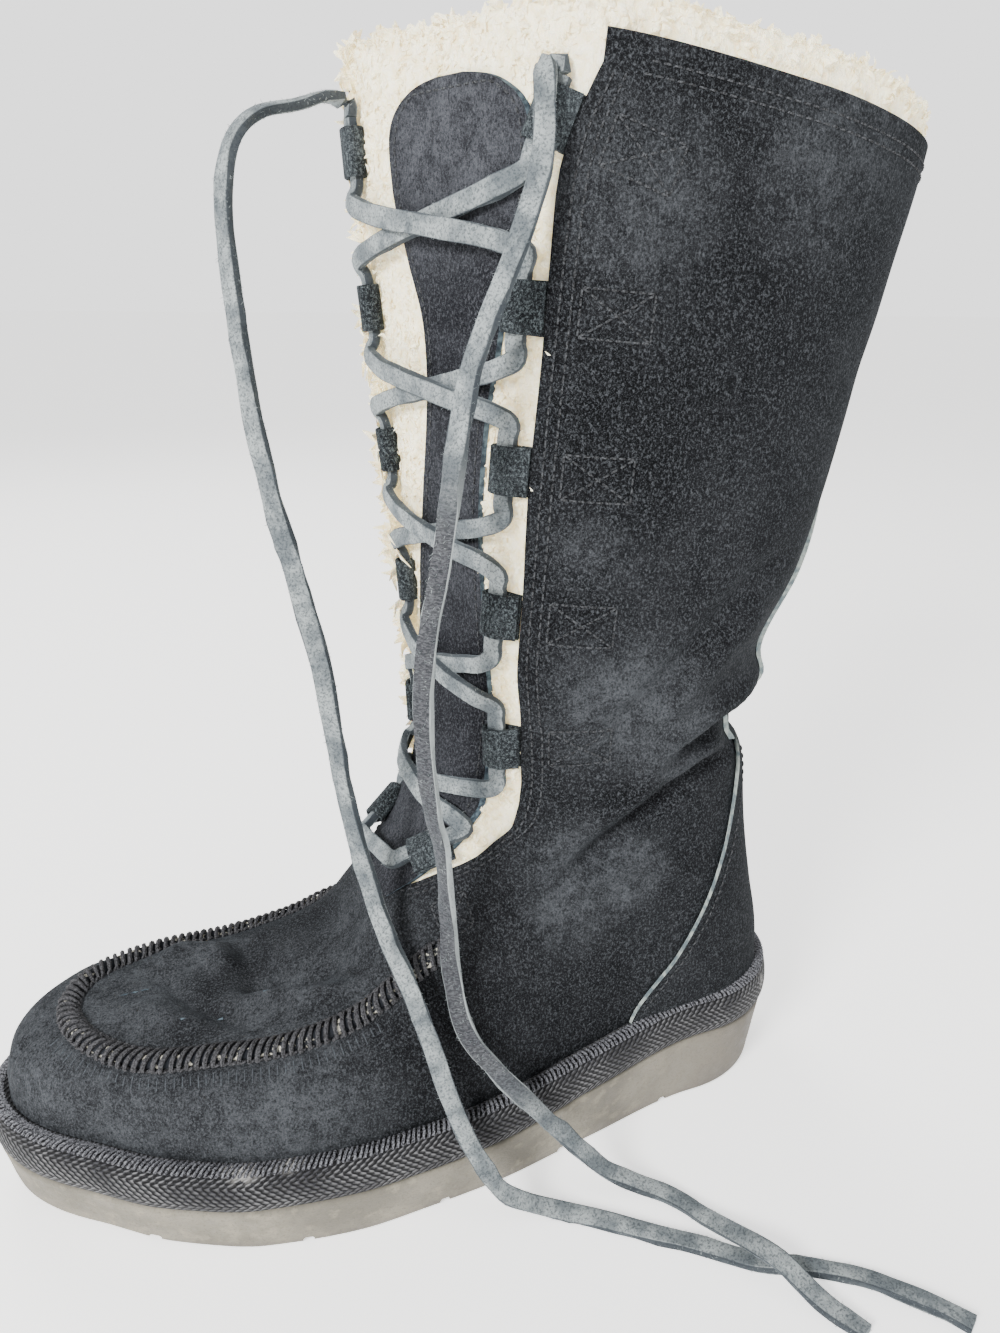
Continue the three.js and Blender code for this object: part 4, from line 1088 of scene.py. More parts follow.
def throat_cutter(widening, top=SKY):
    heights = [lerp(THROAT_BOTTOM, COLLAR_HEIGHT, share) for share in np.linspace(0, 1, 60) ** 1.5]
    heights = heights + ([top] if top > COLLAR_HEIGHT else [])
    edges = {
        s: [(float(throat_edge(z, s)) + s * widening, z if i else z - widening) for i, z in enumerate(heights)]
        for s in SIDES
    }
    return prism("throat_cutter", "x", edges[1] + edges[-1][::-1], THROAT_BACK, THROAT_FRONT)


def collar_rise(x, height=0.0):
    return COLLAR_HEIGHT + height + COLLAR_TILT * (x - (COLLAR_FRONT - HEEL_OVERHANG - COLLAR_DEPTH / 2))


def below_collar(height):
    back, front, under = -150, 300, -20
    outline = [(back, under), (front, under), (front, collar_rise(front, height)), (back, collar_rise(back, height))]
    return prism("collar_cutter", "y", outline, -FLANK, FLANK)


def level_range(reach, low, high):
    """Everything between two heights."""
    return prism("level_cutter", "z", [(-reach, -reach), (300, -reach), (300, reach), (-reach, reach)], low, high)


def layer(low_edge, high_edge=None):
    """What lies between two heights over the sole, or over one."""
    xs = np.arange(-HEEL_OVERHANG - 60, TOE_TIP + 20, 4.0)
    lower = [(x, float(sole_top(x)) + low_edge) for x in xs]
    upper = [(x, SKY if high_edge is None else float(sole_top(x)) + high_edge) for x in xs[::-1]]
    return prism("layer_cutter", "y", lower + upper, -FLANK, FLANK)


def front_cutter(setback):
    """Everything in front of the throat's two edges, set back behind them."""
    reach, rings = 75, []
    for height in [80, *[lerp(THROAT_BOTTOM, COLLAR_HEIGHT, row[0]) for row in THROAT], SKY]:
        z = min(max(height, THROAT_BOTTOM), COLLAR_HEIGHT)
        outer, inner = (front_of(float(throat_edge(z, side)), z)[0] for side in SIDES)
        lean = (outer[0] - inner[0]) / (outer[1] - inner[1])
        back = [(outer[0] + lean * (y - outer[1]) - setback, y, height) for y in (reach, -reach)]
        rings.append(back + [(THROAT_FRONT, -reach, height), (THROAT_FRONT, reach, height)])
    last = (len(rings) - 1) * 4
    faces = [[0, 1, 2, 3], [last + k for k in (3, 2, 1, 0)]]
    for i in range(0, last, 4):
        faces += [[i + k, i + (k + 1) % 4, i + 4 + (k + 1) % 4, i + 4 + k] for k in range(4)]
    return right_way_out(bare_object("front_cutter", np.array(rings).reshape(-1, 3), faces))


# Upper
upper = form_solid("upper_suede", 0)
cut(upper, form_solid("inner_form", -WALL, "plain"))
trim(upper, layer(SEAT_GAP), below_collar(0))
cut(upper, throat_cutter(0))


def is_upper_edge(centres, normals):
    x, y, z = centres.T
    at_collar = np.abs(z - collar_rise(x)) < 0.05
    at_throat = np.zeros(len(x), bool)
    for side in SIDES:
        at_throat |= (np.abs(y - throat_edge(z, side)) < 0.25) & (np.abs(normals[:, 0]) < 0.05) & (x > 60)
    return at_collar | at_throat


piece(upper, suede_look, ["upper"], edge=(trim_edge_look, is_upper_edge))

# Heel counter and back stay
# The counter's front edge: how far up, and how far from the back, both as shares of the ankle's height
COUNTER_EDGE = [(0.2, 0.53), (0.3, 0.505), (0.45, 0.385), (0.6, 0.3), (0.8, 0.235), (0.965, 0.205)]
counter_edge = [(rise * ANKLE_HEIGHT, away * ANKLE_HEIGHT - HEEL_OVERHANG) for rise, away in COUNTER_EDGE]
counter_curve = column(counter_edge, 0, 1)
counter_rises = np.linspace(COUNTER_EDGE[0][0], COUNTER_EDGE[-1][0], 40) * ANKLE_HEIGHT
back_x = -HEEL_OVERHANG - 25
counter_outline = [(float(counter_curve(z)), z) for z in counter_rises]
counter_outline += [(back_x, counter_rises[-1]), (back_x, counter_rises[0])]


def shell(name, low, high):
    made = form_solid(name, high)
    return cut(made, form_solid("under", low))


counter = shell("counter_suede", SEAT_GAP, SEAT_GAP + COUNTER)
trim(counter, prism("counter_cutter", "y", counter_outline, -90, 90), layer(BAND_HEIGHT + 2 * SEAT_GAP))


def is_counter_edge(centres, normals):
    x, _, z = centres.T
    return (np.abs(x - counter_curve(z)) < 0.4) & (np.abs(normals[:, 1]) < 0.2) | (z > counter_rises[-1] - 0.05)


piece(counter, suede_look, ["heel_counter"], edge=(edge_look, is_counter_edge))

stay_low = ANKLE_HEIGHT * 0.965 + SEAT_GAP
stay = shell("back_stay_suede", SEAT_GAP, SEAT_GAP + COUNTER)
FLARE_LOW, FLARE_HIGH = 196, 252
stay_heights = [stay_low, *np.arange(stay_low + 4, FLARE_HIGH + 10, 6.0), SKY]


def stay_edge(z):
    """How far the stay reaches to the outer side, more over the ankle."""
    return STAY_HALF + STAY_FLARE * (1 - smooth(z, FLARE_LOW, FLARE_HIGH))


stay_outline = [(float(stay_edge(z)), z) for z in stay_heights] + [(-STAY_HALF, z) for z in stay_heights[::-1]]
trim(stay, prism("stay_cutter", "x", stay_outline, -150, 20), below_collar(0))


def is_stay_edge(centres, normals):
    _, y, z = centres.T
    return (np.abs(y + STAY_HALF) < 0.05) | (np.abs(y - stay_edge(z)) < 0.6) & (np.abs(normals[:, 1]) > 0.7)


piece(stay, suede_look, ["back_stay"], edge=(edge_look, is_stay_edge))

# Tufts and curls of the fleece
def tufts(bases, outs, length, radius, lean, curl, steps=4, corners=4):
    """Tapered curls, one for each base, as points and faces."""
    count = len(bases)
    flat = squared_off(random.normal(size=(count, 3)), outs)
    other = np.cross(outs, flat)
    lengths = length * random.uniform(0.65, 1.35, (count, 1))
    widths = radius * random.uniform(0.7, 1.3, (count, 1))
    leans = lean * random.uniform(0.5, 1.5, (count, 1))
    curls = curl * random.normal(0, 1, (count, 1))
    rings = []
    for k in range(steps + 1):
        s = k / steps
        turn = np.clip(leans * (0.4 + 1.5 * s) + curls * s * s * 0.6, -1.4, 1.5)
        centre = bases + lengths * s * (outs * np.cos(turn) + flat * np.sin(turn))
        centre = centre + other * (curls * lengths * 0.3 * math.sin(2.4 * s))
        width = widths * ((1 - s) ** 0.6 * 0.85 + 0.12) * (0.75 if k == 0 else 1)
        angles = np.arange(corners) / corners * 2 * math.pi
        rings.append(np.stack([centre + width * (math.cos(a) * flat + math.sin(a) * other) for a in angles], 1))
    k, c = np.meshgrid(np.arange(steps), np.arange(corners), indexing="ij")
    a, b = (k * corners + c).ravel(), (k * corners + (c + 1) % corners).ravel()
    faces = np.stack([a, b, b + corners, a + corners], -1).tolist()
    return repeated(np.concatenate(rings, 1), faces + [[steps * corners + c for c in range(corners)]])


def scattered(made, count, wanted):
    """Random places on a piece's surface where wanted(points, normals) holds, and the way out there."""
    points, triangles = coordinates(made), triangles_of(made)
    a, b, c = (points[triangles[:, k]] for k in range(3))
    face = np.cross(b - a, c - a)
    area = np.linalg.norm(face, axis=1)
    outs = face / np.maximum(area[:, None], 1e-9)
    chosen = area * wanted((a + b + c) / 3, outs)
    picked = random.choice(len(area), count, p=chosen / chosen.sum())
    u, v = random.random((2, count, 1))
    u, v = np.where(u + v > 1, 1 - u, u), np.where(u + v > 1, 1 - v, v)
    return a[picked] + u * (b[picked] - a[picked]) + v * (c[picked] - a[picked]), outs[picked]


def clumps(points, scale, seed=0.0):
    """A lumpy field from 0 to 1, with rounded tops and narrow valleys."""
    return np.array([1 - noise.voronoi(Vector(p * scale + seed))[0][0] for p in points])


def woolly(made, depth, scale, wanted):
    """Raises a piece's surface in rounded clumps where wanted(points, normals) holds."""
    points, normals = coordinates(made), mesh_normals(made)
    chosen = wanted(points, normals)
    lumps = clumps(points, scale) * 0.7 + clumps(points, scale * 2.1, 5.0) * 0.3
    set_coordinates(made, points + normals * ((lumps - 0.62) * depth * chosen)[:, None])
    return made


# Tongue
tongue = form_solid("tongue_fleece", -TONGUE_DROP)
trim(tongue, throat_cutter(-THROAT_SLACK, TONGUE_TOP))
wings = form_solid("tongue_wings", UNDER_WALL)
trim(wings, throat_cutter(TONGUE_TUCK, TONGUE_TOP))
cut(tongue, wings, "UNION")
cut(tongue, form_solid("tongue_core", UNDER_WALL, "plain", (-TONGUE, 0, 0)))
trim(tongue, level_range(100, TONGUE_BOTTOM, TONGUE_TOP), front_cutter(TONGUE - 2 * UNDER_WALL))

# The suede panel: share of its height, share of its half width, drift to the outer side
PANEL_TABLE = [
    (0, 0.5, 0), (0.033, 0.78, -1.2), (0.07, 0.93, -2.6), (0.117, 0.95, -2.6), (0.175, 0.92, -1.6), (0.3, 0.81, 1.5),
    (0.43, 0.68, 3.2), (0.52, 0.57, 6), (0.62, 0.53, 9), (0.74, 0.62, 11.5), (0.82, 0.84, 11), (0.89, 0.97, 9.5),
    (0.93, 0.98, 8.8), (0.944, 0.971, 8.6), (0.958, 0.935, 8.4), (0.972, 0.85, 8.2), (0.9825, 0.735, 8),
    (0.991, 0.59, 8), (0.9965, 0.42, 8), (1, 0.2, 8),
]
PANEL_BOTTOM = THROAT_BOTTOM - 2
PANEL_RISE = PANEL_TOP - PANEL_BOTTOM
panel_share, panel_drift = column(PANEL_TABLE, 0, 1), column(PANEL_TABLE, 0, 2)


def panel_half(z):
    return panel_share(np.clip((z - PANEL_BOTTOM) / PANEL_RISE, 0, 1)) * PANEL_HALF


def throat_middle(z):
    return drift_share(throat_place(z)) * THROAT_DRIFT


def panel_middle(z):
    return throat_middle(z) + panel_drift(np.clip((z - PANEL_BOTTOM) / PANEL_RISE, 0, 1))


def bare_tongue(points):
    """Where the tongue's fleece shows, beside the panel and above it."""
    x, y, z = points.T
    clear = (np.abs(y - panel_middle(z)) > panel_half(z) - 1.5) | (z > PANEL_TOP - 2)
    opening = throat_share(throat_place(z)) * THROAT_HALF
    free = (opening - np.abs(y - throat_middle(z)) > 1.6) | (z > collar_rise(x, -1))
    return (clear & free) * 1.0


woolly(tongue, 2.6, 0.24, lambda points, outs: bare_tongue(points) * (outs[:, 0] > -0.2))
piece(tongue, fleece_look, ["tongue"])

panel_shares = np.concatenate([np.linspace(0, 0.9, 70), 1 - np.linspace(0.31, 0, 40) ** 2])
panel_z = panel_shares * PANEL_RISE + PANEL_BOTTOM
panel_edges = [[(float(panel_middle(z) + s * panel_half(z)), float(z)) for z in panel_z] for s in SIDES]
panel_base = -TONGUE_DROP + SEAT_GAP
panel = shell("tongue_panel_suede", panel_base, panel_base + PANEL)
trim(panel, prism("panel_cutter", "x", panel_edges[0] + panel_edges[1][::-1], THROAT_BACK, THROAT_FRONT))
cut(panel, upper, keep=True)


def is_panel_edge(centres, normals):
    _, y, z = centres.T
    return (np.abs(np.abs(y - panel_middle(z)) - panel_half(z)) < 0.4) & (np.abs(normals[:, 0]) < 0.2)


piece(panel, panel_look, ["tongue_panel"], edge=(trim_edge_look, is_panel_edge))

# Lining and insole
lining = form_solid("lining_fleece", UNDER_WALL)
cut(lining, form_solid("lining_core", UNDER_WALL - LINING))
trim(lining, level_range(200, LINING_BOTTOM, SKY), below_collar(FLEECE_STAND))
cut(lining, front_cutter(TONGUE - 2 * UNDER_WALL + SEAT_GAP))


def lining_faces(points, outs):
    """The lining's inner face and its top edge."""
    inward = ((SHAFT_MIDDLE - points[:, 0]) * outs[:, 0] - points[:, 1] * outs[:, 1]) > 0
    return (inward | (points[:, 2] > collar_rise(points[:, 0], 1.0))) * 1.0


woolly(lining, 2.4, 0.22, lining_faces)
piece(lining, fleece_look, ["collar_lining"])

insole = form_solid("insole_fleece", UNDER_WALL, "plain")
trim(insole, layer(SEAT_GAP, SEAT_GAP + INSOLE))
piece(insole, fleece_look, ["insole"])

# Wool: short curls all over the bare fleece, longer ones on its top edge
bases, outs = scattered(tongue, 3600, lambda p, n: bare_tongue(p) * (n[:, 0] > 0.1) * (p[:, 2] > 96))
wool = [tufts(bases, outs, length=2.0, radius=0.9, lean=1.1, curl=0.9, steps=3)]
bases, outs = scattered(tongue, 260, lambda p, n: (p[:, 2] > TONGUE_TOP - 1.5) * 1.0)
wool.append(tufts(bases - outs, outs, length=3.6, radius=1.4, lean=0.6, curl=0.9))
details("tongue_wool", wool, fleece_look)

bases, outs = scattered(lining, 3600, lambda p, n: lining_faces(p, n) * (p[:, 2] > collar_rise(p[:, 0], -55)))
wool = [tufts(bases, outs, length=2.6, radius=1.0, lean=1.0, curl=0.9, steps=3)]
bases, outs = scattered(lining, 1500, lambda p, n: (p[:, 2] > collar_rise(p[:, 0], FLEECE_STAND - 4.5)) * 1.0)
wool.append(tufts(bases - outs * 0.6, outs, length=2.7, radius=1.35, lean=0.9, curl=1.0))
details("collar_wool", wool, fleece_look)


def fronts(across, heights):
    """Places on the form's front, and the way out at each."""
    found = [front_of(y, z) for y, z in zip(across, heights)]
    return np.array([place for place, _ in found]), np.array([out for _, out in found])


def throat_rim(side, lowest, count, inset):
    """Places along one edge of the throat between its loops, a little inside it, and the way out of the boot."""
    z = lerp(THROAT_BOTTOM, COLLAR_HEIGHT, random.uniform(lowest, 0.995, count))
    y = throat_edge(z, side) - side * inset
    levels = np.linspace(LOWEST_LOOP, HIGHEST_LOOP, LOOP_PAIRS)
    clear = np.abs(z[:, None] - levels).min(1) > LOOP_HEIGHT / 2 + 1.5
    return fronts(y[clear], z[clear])


def overflow(low, high, count, length):
    """Clumps of wool that stand out over the inner edge of the throat."""
    heights = random.uniform(low, high, count)
    spread = random.normal(0, 1, (count, 3))
    places, facing = fronts([float(throat_edge(z, -1)) + 1.5 for z in heights], heights)
    outs = unit(facing + np.array([0, -0.75, 0.1]) + spread * 0.22)
    return tufts(places - facing * 2.2, outs, length, radius=2.3, lean=0.5, curl=0.9)


# Where it stands out: lower and upper height, how many tufts, how long
OVERFLOWS = [
    (338, 352, 60, 5.5), (262, 278, 110, 7.5), (246, 258, 80, 6), (214, 240, 230, 8.5), (196, 212, 170, 9.5),
    (168, 182, 130, 8.5), (146, 164, 170, 8), (118, 140, 150, 6.5),
]
parts = [overflow(*row) for row in OVERFLOWS]
# The even rim on both sides: side, lowest share, count, inset, share of the way outwards and sideways, length
RIMS = [(1, 0.05, 420, 3.4, 0.5, -0.7, 4.0), (-1, 0.12, 900, 1.2, 0.9, 0.5, 6.2)]
for side, lowest, count, inset, forward, sideways, length in RIMS:
    places, facing = throat_rim(side, lowest, count, inset)
    outs = unit(facing * forward + np.array([0, side, 0.0]) * sideways)
    parts.append(tufts(places - facing * 2.6, outs, length, radius=1.1, lean=0.5, curl=0.7))
details("throat_wool", parts, fleece_look)

# Loops: straps folded round the lace, their long edges bevelled by this much
STRAP_EDGE = 0.35


def strap_path(level):
    """The middle of the folded strap in the plane across the lace: how far from the edge, how far out."""
    low = LOOP_BASE + (BOTTOM_LOOP_LIFT if level == 0 else 0)
    half = LOOP_LEATHER / 2
    near, far = low + half, low + LOOP_LEATHER + SLOT_DEPTH + half
    end, bend = LOOP_LENGTH - half, (far - near) / 2
    under = [(u, near) for u in np.linspace(0.5, end - bend, 7)]
    squarish = lambda value: math.copysign(abs(value) ** 0.8, value)
    turn = [(end - bend + bend * squarish(math.sin(a)), (near + far) / 2 - bend * squarish(math.cos(a)))
            for a in np.linspace(0.15, math.pi - 0.15, 11)]
    over = [(u, far - (1 - smooth(u, 0, 6.5)) * (far - near - LOOP_LEATHER)) for u in np.linspace(end - bend, 0.5, 9)]
    return np.array(under + turn + over)


def strap(level, side):
    point, rising, inward, out = loop_frame(level, side)
    path = strap_path(level)
    line = point + inward * path[:, :1] + out * path[:, 1:]
    across = np.repeat(rising[None], len(line), 0)
    half, deep = LOOP_HEIGHT / 2, LOOP_LEATHER / 2
    wide, thin = half - STRAP_EDGE, deep - STRAP_EDGE
    profile = [(half, thin), (wide, deep), (-wide, deep), (-half, thin),
               (-half, -thin), (-wide, -deep), (wide, -deep), (half, -thin)]
    narrow = 1 - 0.05 * np.sin(np.linspace(0, math.pi, len(line)))
    shaped = np.array(profile)[None] * np.stack([narrow, np.ones(len(line))], 1)[:, None]
    name = f"{SIDES[side]}_{level + 1}"
    made = swept(f"loop_strap_{name}", line, across, np.cross(tangents_of(line), across), shaped)
    piece(made, trim_look, [f"loop_{name}"])


for level in range(LOOP_PAIRS):
    for side in SIDES:
        strap(level, side)


# Stitches, which are swellings of a thread between two holes
def stitch_shape(length, radius):
    """One stitch lying along its first direction."""
    # place along it, share of its width, height
    rounds = [(-0.5, 0.35, -0.6), (-0.38, 0.9, 0.1), (-0.12, 1, 0.55)]
    rounds += [(-along, width, lift) for along, width, lift in rounds[::-1]]
    angles = np.arange(5) / 5 * 2 * math.pi
    points = [
        (along * length, width * radius * math.cos(a), (width * math.sin(a) * 0.8 + lift) * radius)
        for along, width, lift in rounds for a in angles
    ]
    faces = [[k + c, k + (c + 1) % 5, k + 5 + (c + 1) % 5, k + 5 + c] for k in range(0, 25, 5) for c in range(5)]
    return np.array(points), faces + [[4, 3, 2, 1, 0], [25, 26, 27, 28, 29]]


def stitches(line, pitch=2.9, length=2.1, radius=0.3, lift=0.12, slant=0.0):
    """Stitches along a line that is laid on the form."""
    line, outs = snapped(evenly(np.asarray(line, float), pitch), lift)
    along = unit(np.diff(line, axis=0))
    outs = squared_off(outs[:-1], along)
    side = np.cross(outs, along)
    along, side = along * math.cos(slant) + side * math.sin(slant), side * math.cos(slant) - along * math.sin(slant)
    centres = (line[:-1] + line[1:]) / 2
    shape, faces = stitch_shape(length, radius)
    x, y, z = (shape[None, :, k : k + 1] for k in range(3))
    return repeated(centres[:, None] + x * along[:, None] + y * side[:, None] + z * outs[:, None], faces)


def beside_throat(side, away):
    """A line on the form that runs beside one edge of the throat."""
    found = []
    for z in np.linspace(THROAT_BOTTOM + 1, COLLAR_HEIGHT - 2, 70):
        place, out = front_of(float(throat_edge(z, side)), z)
        sideways = unit(np.cross(out * np.array([1, 1, 0.0]), [0, 0, -side]) * side)
        found.append(place + sideways * side * away * (1 if sideways[1] > 0 else -1))
    return snapped(found)[0]


def box_stitches(level, side):
    """The crossed box behind a loop, shorter at the lowest one."""
    point, rising, inward, out = loop_frame(level, side)
    start, end, half = 8.5, 24.0 if level > 0 else 19.0, 6.2
    places = [(start, half), (end, half), (end, -half), (start, -half), (start, half)]
    box = [snapped(point - inward * u + rising * v - out * (0.06 * u * u * 0.4))[0][0] for u, v in places]
    ends = [*zip(box, box[1:]), (box[0], box[2]), (box[1], box[3])]
    return [stitches([a, b], 2.6, 2.0, 0.33) for a, b in ends]


def round_shaft(height, angles):
    """A line round the shaft, this far above the collar's edge."""
    found = []
    for angle in angles:
        way = Vector((-math.cos(angle), -math.sin(angle), 0))
        x = SHAFT_MIDDLE
        for _ in range(3):
            start = Vector((SHAFT_MIDDLE, 0, collar_rise(x, height))) - way * 200
            place, _, _, _ = fine_tree.ray_cast(start, way)
            x = place.x
        found.append(np.array(place))
    return np.array(found)


# Double seams beside the throat and under the collar, the boxes, and single seams on the counter and the stay
seams = [stitches(beside_throat(side, away), radius=0.32) for side in SIDES for away in (3.2, 6.4)]
for level in range(LOOP_PAIRS):
    for side in SIDES:
        seams += box_stitches(level, side)
for height in (-5.5, -8.6):
    line = round_shaft(height, np.linspace(0.4, 2 * math.pi - 0.4, 200))
    side = np.sign(line[:, 1])
    edge = np.array([throat_edge(z, s) for z, s in zip(line[:, 2], side)])
    line = line[(line[:, 0] < 40) | (np.abs(line[:, 1]) > np.abs(edge) + 3.5)]
    seams.append(stitches(line))
on_counter = SEAT_GAP + COUNTER
for side in SIDES:
    line = [(float(counter_curve(z)) - 3.2, side, z) for z in counter_rises[6:-2]]
    line = snapped([side_of(x, z, s) for x, s, z in line], on_counter)[0]
    seams.append(stitches(line, lift=on_counter + 0.1))
    stay_z = np.linspace(stay_low + 3, collar_rise(-60) - 2, 60)
    line = [snapped([(-90, side * (STAY_HALF - 2), z)])[0][0] for z in stay_z]
    seams.append(stitches(line, lift=on_counter + 0.1))
details("stitching", seams, stitch_look)

seam_z = np.linspace(PANEL_BOTTOM + 8, PANEL_TOP - 3, 60)
panel_line = [front_of(float(panel_middle(z) + s * (panel_half(z) - 2.2)), z)[0] for s in SIDES for z in seam_z[::s]]
details("panel_stitching", [stitches(panel_line, lift=panel_base + PANEL + 0.1)], stitch_look)


# Rings round the foot
def even_ring(inset, height, count):
    """Evenly spaced points round the sole's outline, drawn in by inset, at a height over each x."""
    share = (1 - np.cos(np.linspace(0, math.pi, 500))) / 2
    x, middle, half = outline_at(share, inset)
    line = np.concatenate([np.stack([x, middle - half, x * 0], 1), np.stack([x, middle + half, x * 0], 1)[::-1]])
    line = evenly(line, 0.4)
    line = line[np.round(np.linspace(0, len(line) - 1, count, endpoint=False)).astype(int)]
    line[:, 2] = height(line[:, 0])
    return line


def ring_piece(name, levels, count):
    """A closed skin through rings round the foot, each an inset and a height, with UV in millimetres."""
    rings = [even_ring(inset, height, count) for inset, height in levels]
    faces = []
    for start in range(0, (len(rings) - 1) * count, count):
        for j in range(count):
            a, b = start + j, start + (j + 1) % count
            faces.append([a, b, b + count, a + count])
    faces += [list(range(count))[::-1], [(len(rings) - 1) * count + j for j in range(count)]]
    made = bare_object(name, np.concatenate(rings), faces)
    pitch = distances(rings[0])[-1] / (count - 1)
    somewhere = 40
    heights = distances(np.array([ring[somewhere] for ring in rings]))
    uv = made.data.uv_layers.new(name="tape")
    values = np.zeros((len(made.data.loops), 2))
    for face in made.data.polygons:
        for k, index in zip(face.loop_indices, face.vertices):
            j = index % count
            if j == 0 and any(v % count == count - 1 for v in face.vertices) and len(face.vertices) == 4:
                j = count
            values[k] = j * pitch, heights[index // count]
    uv.data.foreach_set("uv", values.ravel())
    return right_way_out(made)


def over_sole(height):
    return lambda x: sole_top(x) + SEAT_GAP + height


# The tape's section: how far it is drawn in from the sole's edge, and how high over the sole
BAND_LEVELS = [
    (6.0, 0.2), (1.6, 0.1), (0.4, 0.2), (-0.5, 1.2), (-1.0, 3), (-1.2, 5), (-1.15, 7), (-0.95, 9.2),
    (-0.6, 11.2), (-0.1, 12.8), (0.8, 14.2), (2.0, 14.9), (3.6, 15.1), (5.0, 14.6), (6.4, 13.0),
]
tape = ring_piece("welt_tape", [(inset, over_sole(height)) for inset, height in BAND_LEVELS], 440)
piece(tape, band_look, ["welt_band"])

# The same for the overcast thread over the tape's upper edge
SERGE_ARC = [(0.1, 13.9), (0.7, 14.8), (1.6, 15.4), (2.7, 15.6), (3.7, 15.2)]


def tube(line, radius, corners, reference):
    """A thread along a line, its profile turned to a reference direction."""
    line = np.asarray(line, float)
    along = tangents_of(line)
    out = squared_off(np.repeat(np.asarray(reference, float)[None], len(line), 0), along)
    side = np.cross(along, out)
    angles = np.arange(corners) / corners * 2 * math.pi
    return sweep(line, side, out, np.stack([np.cos(angles), np.sin(angles)], 1) * radius)


def serging():
    """Slanted turns of thread over the tape's upper edge."""
    count, parts = 380, []
    rings = np.stack([even_ring(inset, over_sole(height), count) for inset, height in SERGE_ARC])
    for j in range(count):
        forward = unit(rings[2, (j + 1) % count] - rings[2, j - 1])
        slant = np.linspace(-0.5, 0.5, len(rings))[:, None] + random.normal(0, 0.06)
        parts.append(tube(rings[:, j] + forward * slant, 0.5, 5, forward))
    return parts


details("welt_serging", serging(), serge_look, outward=True)

# Sole
SOLE_LEVELS = [
    (SOLE_DRAFT + SOLE_EDGE, lambda x: sole_bottom(x)), (SOLE_DRAFT + 0.7, lambda x: sole_bottom(x) + 0.25),
    (SOLE_DRAFT + 0.2, lambda x: sole_bottom(x) + 0.8), (SOLE_DRAFT, lambda x: sole_bottom(x) + SOLE_EDGE),
    (SOLE_DRAFT * 0.72, lambda x: lerp(sole_bottom(x), sole_top(x), 0.3)),
    (SOLE_DRAFT * 0.4, lambda x: lerp(sole_bottom(x), sole_top(x), 0.6)),
    (SOLE_DRAFT * 0.1, lambda x: lerp(sole_bottom(x), sole_top(x), 0.86)),
    (0.0, lambda x: sole_top(x) - 1.3), (0.35, lambda x: sole_top(x) - 0.45), (SOLE_EDGE, sole_top),
]


def sole_piece():
    share = np.concatenate([[0], (1 - np.cos(np.linspace(0.04, math.pi - 0.04, 218))) / 2, [1]])
    count = 2 * len(share)
    rings = []
    for inset, height in SOLE_LEVELS:
        x, middle, half = outline_at(share, inset)
        z = height(x)
        rings.append(np.concatenate([np.stack([x, middle - half, z], 1), np.stack([x, middle + half, z], 1)[::-1]]))
    triangles = np.concatenate([ring_triangles(len(rings), count), cap_triangles(len(rings), count)])
    made = right_way_out(bare_object("sole_rubber", *welded(np.concatenate(rings), triangles)))
    for i in range(1, GROOVE_COUNT + 1):
        x, half = TOE_TIP - i * GROOVE_SPACING, GROOVE_WIDTH / 2
        deep = float(sole_bottom(x)) + GROOVE_DEPTH
        slot = [(x - half - 0.3, -6), (x - half, deep - 0.8), (x - half + 0.6, deep),
                (x + half - 0.6, deep), (x + half, deep - 0.8), (x + half + 0.3, -6)]
        cut(made, prism("groove", "y", slot, -BALL_WIDTH, BALL_WIDTH))
    return made


piece(sole_piece(), rubber_look, ["sole"])

# The raised seam round the plug. Its course over the foot: share of the sole's length, share of its width across
SEAM = [
    (0.5, 0.34), (0.58, 0.34), (0.66, 0.32), (0.75, 0.26), (0.83, 0.185), (0.885, 0.05), (0.905, -0.1),
    (0.89, -0.22), (0.84, -0.315), (0.76, -0.37), (0.67, -0.39), (0.58, -0.375), (0.535, -0.35),
]
seam_flat = catmull([(along * SOLE_LENGTH - HEEL_OVERHANG, across * BALL_WIDTH, 0) for along, across in SEAM], 14)
seam_line, _ = snapped([above(x, y) for x, y, _ in evenly(seam_flat, 1.1)])
seam_line, seam_out = snapped(seam_line)
along = tangents_of(seam_line)
seam_out = squared_off(unit(seam_out + np.array([0, 0, 0.6])), along)
seam_side = np.cross(seam_out, along)


def lumpy_profile(count, half, high, low):
    """A low arch, a little larger and smaller from place to place."""
    angles = np.linspace(-0.25, math.pi + 0.25, 12)
    profile = np.stack([np.cos(angles) * half, np.maximum(np.sin(angles) * high, -low)], 1)
    scale = 1 + 0.05 * np.interp(np.arange(count), np.arange(0, count, 3), random.normal(size=len(range(0, count, 3))))
    return profile[None] * scale[:, None, None]


def nearest(centre):
    """Which of the seam's points is nearest to a place."""
    return int(np.linalg.norm(seam_line - centre, axis=1).argmin())


core_look = Look("seam_core")
core_colour = core_look.tint(srgb(30, 32, 36), srgb(196, 192, 178), core_look.noise(2.6, 3, 0.6), 0.55, 0.66)
core_look = core_look.finish(core_colour, 0.95, core_look.bump(core_look.noise(0.6, 3), 0.2, 0.8), specular=0.1)
core = swept("plug_seam_core", seam_line, seam_side, seam_out, lumpy_profile(len(seam_line), 2.5, 2.5, 0.6))
piece(core, core_look, ["plug_seam"])

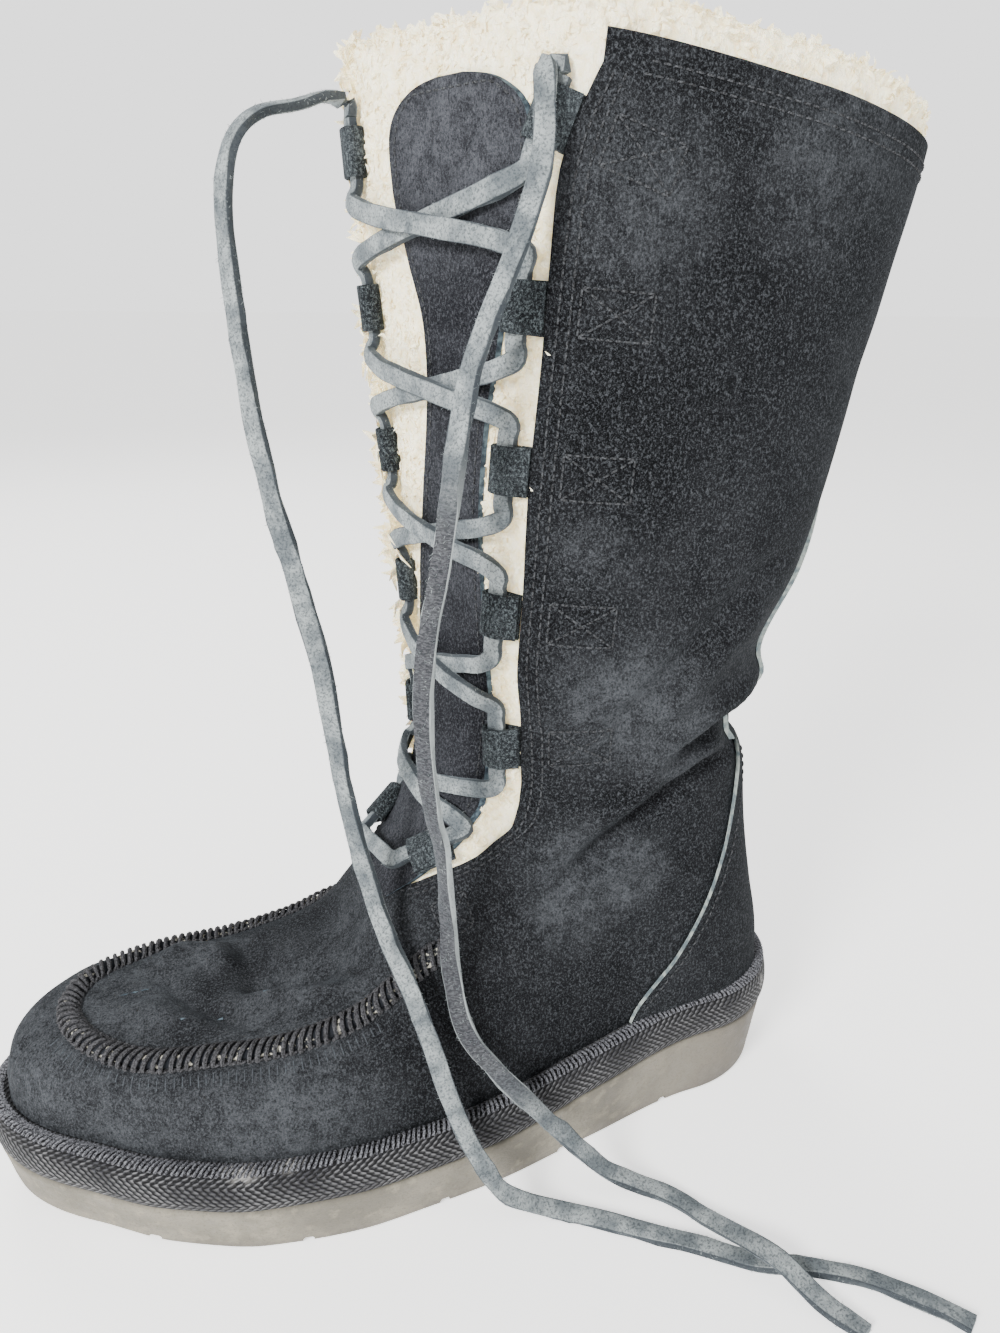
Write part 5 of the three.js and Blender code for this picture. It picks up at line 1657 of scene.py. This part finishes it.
# Whip stitches over the core, and slanted stitches along its two feet
WHIP_PITCH, WHIP_LEAN, WHIP_REACH, WHIP_RISE, WHIP_RADIUS = 2.6, 1.5, 3.3, 3.1, 0.76
parts = []
for centre in evenly(seam_line, WHIP_PITCH)[1:-1]:
    k = nearest(centre)
    t, s, o = along[k], seam_side[k], seam_out[k]
    lean, wide = WHIP_LEAN + random.normal(0, 0.25), WHIP_REACH + random.normal(0, 0.12)
    arc = [centre + s * math.cos(a) * wide + o * (math.sin(a) * WHIP_RISE + 0.05) + t * math.cos(a) * lean
           for a in np.linspace(-0.1, math.pi + 0.1, 11)]
    parts.append(tube(arc, WHIP_RADIUS + random.normal(0, 0.06), 6, t))
for side in SIDES:
    foot = seam_line + seam_side * side * WHIP_REACH + seam_out * 0.55
    parts.append(stitches(foot, WHIP_PITCH, WHIP_PITCH, radius=0.6, lift=0.35, slant=0.35))
details("plug_seam_thread", parts, whip_look, outward=True)

# Short marks where the leather is drawn to the seam, along its outer side
MARK_PITCH, MARK_START, MARK_LENGTH, MARK_RADIUS = 2.35, 5.4, 4.2, 0.26
parts = []
for centre in evenly(seam_line, MARK_PITCH):
    k = nearest(centre)
    if not 0.1 < k / len(seam_line) < 0.5:
        continue
    away = -1 if seam_side[k][1] < 0 else 1
    reach = MARK_LENGTH + random.uniform(-0.8, 0.8)
    line, _ = snapped([centre + seam_side[k] * away * (MARK_START + reach * u) for u in (0, 0.33, 0.66, 1)], -0.02)
    parts.append(tube(line, MARK_RADIUS, 5, along[k]))
details("pull_marks", parts, mark_look, outward=True)

# Fine hairs all over the laces
HAIR_COUNT, HAIR_LENGTH, HAIR_RADIUS = 2400, 0.95, 0.1
parts = []
for name in ("lace_free_outer", "lace_free_inner", "lace_through_loops"):
    bases, outs = scattered(bpy.data.objects[name], HAIR_COUNT, lambda p, n: np.ones(len(p)))
    points, faces = tufts(bases, outs, HAIR_LENGTH, HAIR_RADIUS, lean=0.9, curl=0.6, steps=2, corners=3)
    points[:, 2] = np.maximum(points[:, 2], FLOOR_GAP)
    parts.append((points, faces))
details("lace_nap", parts, cord_look)
